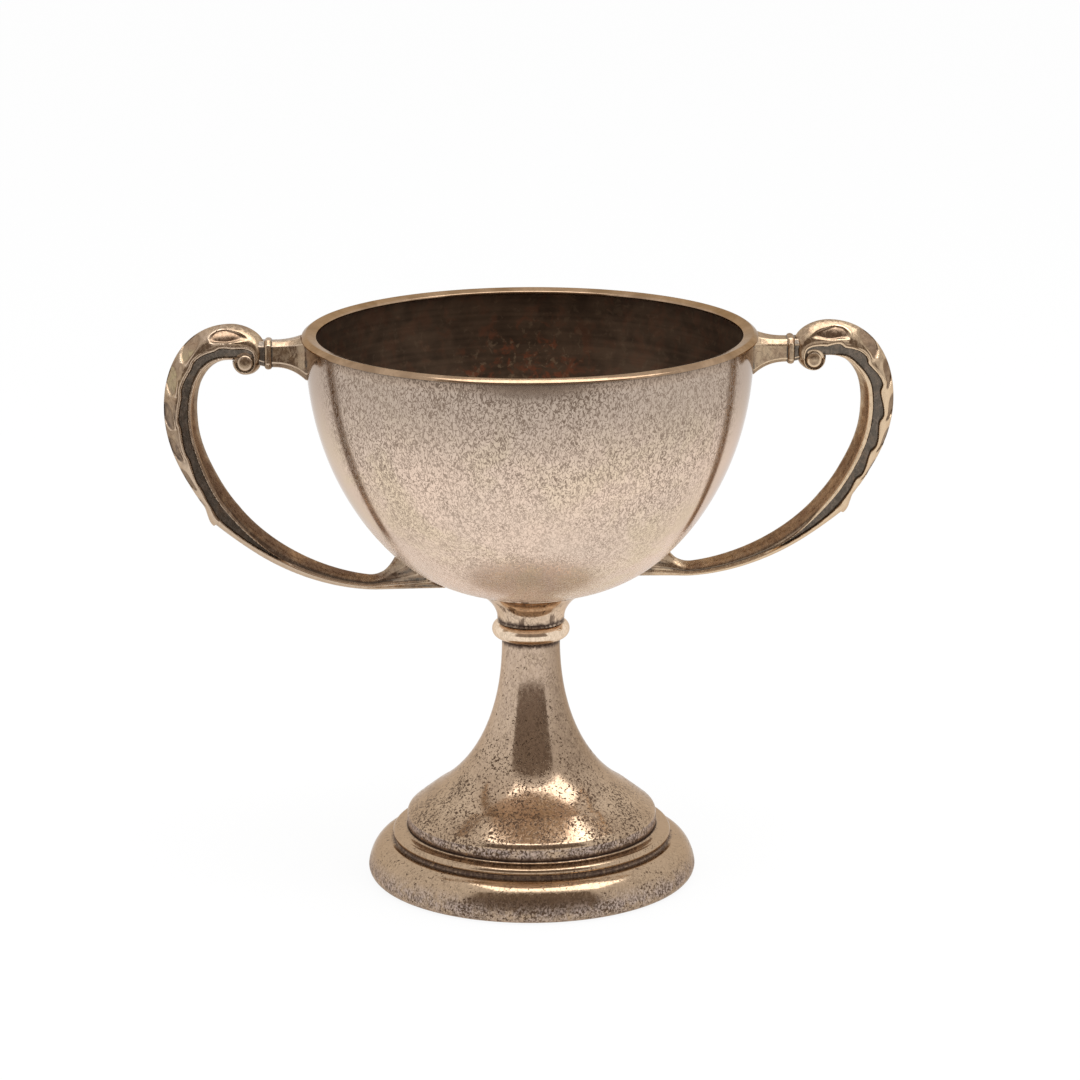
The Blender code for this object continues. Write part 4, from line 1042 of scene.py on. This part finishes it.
def neck_sections(size):
    """The faceted neck from the bowl, which it meets with a flare, to its collar and into the scroll."""
    collar_start = BOWL_RADIUS + NECK_LENGTH
    collar_end = collar_start + COLLAR_WIDTH
    for share in spread(0, 1, 30):
        flare = (1 - share) ** 2.4
        tarnish = max(0.6 * (1 - soft_step(share, 0.0, 0.06)), 0.6 * soft_step(share, 0.94, 1.0), 0.10)
        yield octagon_section(mixed(BOWL_RADIUS - 0.2, collar_start, share), size * mixed(2.75, 4.1, flare),
                              size * mixed(2.75, 5.6, flare), size * mixed(2.8, 4.5, flare), tarnish)
    for share in spread(0, 1, 10):
        swell = sin(pi * share) ** 0.6
        height = size * (2.85 + 0.35 * swell)
        yield octagon_section(mixed(collar_start + 0.05, collar_end, share), height, height,
                              size * (2.9 + 0.40 * swell), 0.6 * (1 - soft_step(swell, 0.3, 0.6)), swell)
    yield octagon_section(collar_end + 0.1, size * 2.8, size * 2.6, size * 2.8, 0.60)
    yield octagon_section(EYE[0] - 2.4, size * 2.9, size * 2.1, size * 2.9, 0.6)


def skin(work, sections, layers):
    """Wrap a flat grid round the sections to a tube, and close both ends."""
    around = len(sections[0])
    verts = bmesh.ops.create_grid(work, x_segments=around, y_segments=len(sections) - 1, size=1.0)["verts"]
    for k, vert in enumerate(verts):
        out, across, up, *finish = sections[k // (around + 1)][k % (around + 1) % around]
        vert.co = (out * MM, across * MM, up * MM)
        for layer, value in zip(layers, finish):
            vert[layer] = value
    ends = (verts[:around], verts[-around - 1:-1])
    bmesh.ops.weld_verts(work, targetmap=dict(zip(verts[around::around + 1], verts[::around + 1])))
    for end in ends:
        bmesh.ops.contextual_create(work, geom=end)
    return ends


def add_disc(work, layers, radius, half_length, dome):
    """A round boss through the eye of the scroll, with slightly domed ends."""
    tarnish, bare = layers[:2]
    centre = Vector((EYE[0] * MM, 0.0, (EYE[1] - SOCKET_Z) * MM))
    profile = [(0.0, dome), (0.5, 0.8 * dome), (0.8, 0.35 * dome), (0.93, 0.0), (1.0, -0.12)]
    outline = [(r * radius, half_length + rise) for r, rise in profile]
    outline += [(r, -h) for r, h in reversed(outline)]
    points = [work.verts.new((centre.x + r * MM, h * MM, centre.z)) for r, h in outline]
    edges = [work.edges.new(pair) for pair in zip(points, points[1:])]
    for point, (r, h) in zip(points, outline):
        point[tarnish] = 0.6 if r > 0.97 * radius else 0.0
        point[bare] = window(r, 0.7 * radius, 0.93 * radius, 0.05)
    bmesh.ops.spin(work, geom=points + edges, cent=centre, axis=(0, 1, 0), angle=2 * pi, steps=48,
                   use_merge=True)
    bmesh.ops.remove_doubles(work, verts=work.verts[:], dist=0.002 * MM)


def bowl_radius_at(height):
    """Outer radius of the bowl at a height, in millimetres."""
    if height > BOWL_UPRIGHT_Z:
        return BOWL_RADIUS
    share = (BOWL_UPRIGHT_Z - height) / BOWL_SIDE_DROP
    if share < sin(BOWL_SIDE_END):
        return BOWL_RADIUS * sqrt(1 - share * share)
    rise = min(BOWL_ARC_CENTRE[1] - height, BOWL_ARC)
    return BOWL_ARC_CENTRE[0] + sqrt(BOWL_ARC ** 2 - rise * rise)


def seat_on_bowl(verts, direction, bite):
    """Slide points along a direction until each is a little way inside the bowl's wall."""
    for vert in verts:
        start = vert.co.copy()
        near, far = -3.0, 6.0
        for halving in range(24):
            middle = (near + far) / 2
            point = start + direction * middle * MM
            outside = hypot(point.x, point.y) / MM - bowl_radius_at(point.z / MM)
            near, far = (middle, far) if outside > -bite else (near, middle)
        vert.co = start + direction * near * MM


def make_handle(side, turn, neck_size, metal):
    work = bmesh.new()
    layers = [work.verts.layers.float.new(finish) for finish in ("tarnish", "bare", "hollow")]
    add_disc(work, layers, radius=2.3, half_length=2.5, dome=0.0)
    add_disc(work, layers, EYE_RADIUS, half_length=3.2, dome=0.3)
    bar = [*volute_sections(side), *leaf_sections(side), *arm_sections(side), *palm_sections()]
    palm = skin(work, bar, layers)[1]
    socket = skin(work, list(neck_sections(neck_size)), layers)[0]
    place = Matrix.Translation((0, 0, SOCKET_Z * MM)) @ Matrix.Rotation(turn, 4, "Z")
    place = place @ Matrix.Rotation(HANDLE_LEAN, 4, "X")
    bmesh.ops.transform(work, matrix=place, verts=work.verts[:])
    into_bowl = handle_landing()[2]
    seat_on_bowl(palm, place.to_3x3() @ Vector((into_bowl.x, 0, into_bowl.y)), SOLDER_BITE)
    seat_on_bowl(socket, place.to_3x3() @ Vector((-1, 0, 0)), SOLDER_BITE)
    for vert in work.verts:
        if hypot(vert.co.x, vert.co.y) < RIM_OUTER * MM and vert.co.z > 110 * MM:
            vert.co.z = min(vert.co.z, RIM_FLAT_Z * MM)
    return finished_piece("handle_" + side + "_casting", work, metal)


def handle_metal(name, worn, border_gold, high_patch, low_patch, outline):
    """Cast metal: brown on its plain faces, grey in its channel, mottled in its leaf, bright where rubbed."""
    material, nodes = new_metal(name)
    grain = nodes.grain(1400.0, 0.38, 0.62)
    mottle = nodes.clouds(420.0, 0.32, 0.66)
    height = nodes.height()
    line = nodes.lines(900.0, 0.07)
    brown = nodes.times(nodes.clouds(110.0, 0.32, 0.58),
                        nodes.stretch(height, 116 * MM, 107 * MM, 0.5, 1.0))
    base = nodes.lay((0.31, 0.205, 0.130), (0.52, 0.385, 0.250), mottle)
    base = nodes.lay(base, (0.150, 0.105, 0.085), brown, worn)
    base = nodes.lay(base, (0.58, 0.46, 0.33), grain["Fleck"], 0.15)
    base = nodes.lay(base, (0.11, 0.070, 0.050), line, 0.35)

    ragged = nodes.math("MULTIPLY", mottle, 0.30)
    dark = nodes.math("ADD", nodes.attribute("tarnish"), ragged)
    grey = nodes.stretch(dark, 0.34, 0.72)
    base = nodes.lay(base, (0.118, 0.098, 0.079), grey)
    base = nodes.lay(base, (0.30, 0.23, 0.18), nodes.times(grey, 0.3), line)
    base = nodes.lay(base, (0.050, 0.036, 0.028), nodes.stretch(dark, 0.80, 1.20))
    bare = nodes.stretch(nodes.math("SUBTRACT", nodes.attribute("bare"), ragged), 0.10, 0.62)
    base = nodes.lay(base, border_gold, bare)

    patch = nodes.lay(high_patch, low_patch, nodes.stretch(height, 109.5 * MM, 107 * MM))
    patch = nodes.lay(patch, (0.30, 0.20, 0.13), nodes.stretch(height, 116.5 * MM, 117.5 * MM))
    patch = nodes.lay(patch, (0.36, 0.26, 0.18), mottle, 0.75)
    patch = nodes.lay(patch, (0.085, 0.055, 0.040), line, 0.3)
    wander = nodes.math("MULTIPLY", nodes.clouds(210.0, 0.30, 0.70), 0.35)
    ragged = nodes.math("ADD", nodes.math("MULTIPLY", mottle, 0.25), wander)
    hollow = nodes.math("SUBTRACT", nodes.attribute("hollow"), ragged)
    base = nodes.lay(base, patch, nodes.stretch(hollow, 0.15, 0.60))
    base = nodes.lay(base, (0.075, 0.048, 0.035), nodes.stretch(hollow, 0.0, 0.18),
                     nodes.stretch(hollow, 0.48, 0.24), outline)

    rough = nodes.between(grain["Fleck"], 0.17, 0.36)
    metallic = nodes.between(grey, 1.0, 0.8)
    lumps = nodes.math("MULTIPLY", nodes.noise(nodes.place((1.0, 1.0, 1.0)), 230.0, 2.0), 6.0)
    relief = nodes.math("ADD", lumps, grain["Height"])
    nodes.finish(base, rough, metallic, relief, 0.4, 0.04, (0.76, 0.67, 0.58))
    return material


# Turn round the cup, neck size, share of worn brown, the colours of the rubbed edges and of the leaf's
# upper and lower hollows, and how dark the line round each hollow is.
HANDLES = {"right": (0.0, 0.90, 0.40, (0.72, 0.545, 0.37), (0.20, 0.13, 0.085), (0.17, 0.12, 0.085), 0.25),
           "left": (pi, 1.0, 0.80, (0.57, 0.44, 0.325), (0.40, 0.32, 0.19), (0.105, 0.078, 0.064), 0.3)}

for side, (turn, neck_size, *looks) in HANDLES.items():
    handle = make_handle(side, turn, neck_size, handle_metal("handle_" + side + "_gold", *looks))
    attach(handle, "root")
    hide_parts("handle_" + side)


# Light and floor.
# The cup stands on a white table in a white tent. The tent is open towards the camera, and that opening
# shows as a darker shape in the metal. A wide soft lamp hangs above it, a little to the right.
TABLE_WHITE = 0.9
TENT_WHITE = 0.95
LAMP_PLACE = (0.16, -0.16, 0.80)
LAMP_SIZE = (0.95, 0.45)
LAMP_WATTS = 4.1
LAMP_TURN = radians(-8)
OPENING_HALF = 0.46                # of the tent's opening, in metres like all sizes in this section
OPENING_Y = -0.42
OPENING_Z = (0.026, 0.66)
OPENING_TONE = (0.27, 0.225, 0.195)
BOUNCED_TONE = (0.8, 0.8, 0.8)


def cleared(owner):
    owner.use_nodes = True
    owner.node_tree.nodes.clear()
    return Nodes(owner.node_tree)


def white_shader(nodes, kind, surface, share):
    """White at strength one for what the camera and the metal see, and the plain surface for the rest."""
    path = nodes.add("LightPath").outputs
    seen = nodes.math("ADD", path["Is Camera Ray"], path["Is Glossy Ray"], clamp=True)
    seen = nodes.math("ADD", seen, path["Is Transmission Ray"], clamp=True)
    glow = "Background" if kind == "World" else "Emission"
    white = nodes.add(glow, {"Color": (1, 1, 1), "Strength": 1.0})
    both = {0: nodes.times(seen, share), 1: surface.outputs[0], 2: white.outputs[0]}
    nodes.add("Output" + kind, {"Surface": nodes.add("MixShader", both).outputs[0]})


def make_floor():
    material = bpy.data.materials.new("table_white")
    nodes = cleared(material)
    surface = nodes.add("BsdfDiffuse", {"Color": (TABLE_WHITE, TABLE_WHITE, TABLE_WHITE)})
    white_shader(nodes, "Material", surface, share=0.9)
    work = bmesh.new()
    bmesh.ops.create_grid(work, x_segments=1, y_segments=1, size=4.0)
    floor = finished_piece("table_top", work, material)


def make_opening():
    """The tent's opening only shows in the metal, and pale where one piece of metal shows it to another."""
    material = bpy.data.materials.new("tent_opening_grey")
    nodes = cleared(material)
    bounced = nodes.math("GREATER_THAN", nodes.add("LightPath").outputs["Glossy Depth"], 1.5)
    glow = nodes.add("Emission", {"Color": nodes.lay(OPENING_TONE, BOUNCED_TONE, bounced)})
    nodes.add("OutputMaterial", {"Surface": glow.outputs[0]})
    low, high = OPENING_Z
    corners = ((-OPENING_HALF, low), (OPENING_HALF, low), (OPENING_HALF, high), (-OPENING_HALF, high))
    work = bmesh.new()
    bmesh.ops.contextual_create(work, geom=[work.verts.new((x, OPENING_Y, z)) for x, z in corners])
    card = finished_piece("tent_opening", work, material)
    card.visible_camera = False
    card.visible_diffuse = False
    card.visible_shadow = False


def make_world():
    world = bpy.data.worlds.new("studio_tent")
    nodes = cleared(world)
    tent = nodes.add("Background", {"Color": (1, 1, 1), "Strength": TENT_WHITE})
    white_shader(nodes, "World", tent, share=1.0)
    bpy.context.scene.world = world


def make_lamp():
    lamp = bpy.data.lights.new("soft_lamp", "AREA")
    lamp.shape = "RECTANGLE"
    lamp.size, lamp.size_y = LAMP_SIZE
    lamp.energy = LAMP_WATTS
    holder = bpy.data.objects.new("soft_lamp", lamp)
    holder.location = LAMP_PLACE
    holder.rotation_euler.x = LAMP_TURN
    bpy.context.scene.collection.objects.link(holder)


make_world()
make_floor()
make_lamp()
make_opening()


# Camera.
# It looks slightly down at the cup from straight in front, through a long lens.
CAMERA_PLACE = (-23.05, -844.9, 296.5)
CAMERA_TURN = (75.28, 0.0, -1.7)
CAMERA_ROLL = -0.2
CAMERA_LENS = 136.2

view = bpy.data.cameras.new("front_camera")
view.lens = CAMERA_LENS
view.sensor_width = 36.0
view.clip_start = 0.01
camera = bpy.data.objects.new("front_camera", view)
camera.location = Vector(CAMERA_PLACE) * MM
roll = Matrix.Rotation(radians(CAMERA_ROLL), 3, "Z")
camera.rotation_euler = (Euler([radians(angle) for angle in CAMERA_TURN]).to_matrix() @ roll).to_euler()
bpy.context.scene.collection.objects.link(camera)
bpy.context.scene.camera = camera
bpy.context.scene.view_settings.view_transform = "Standard"
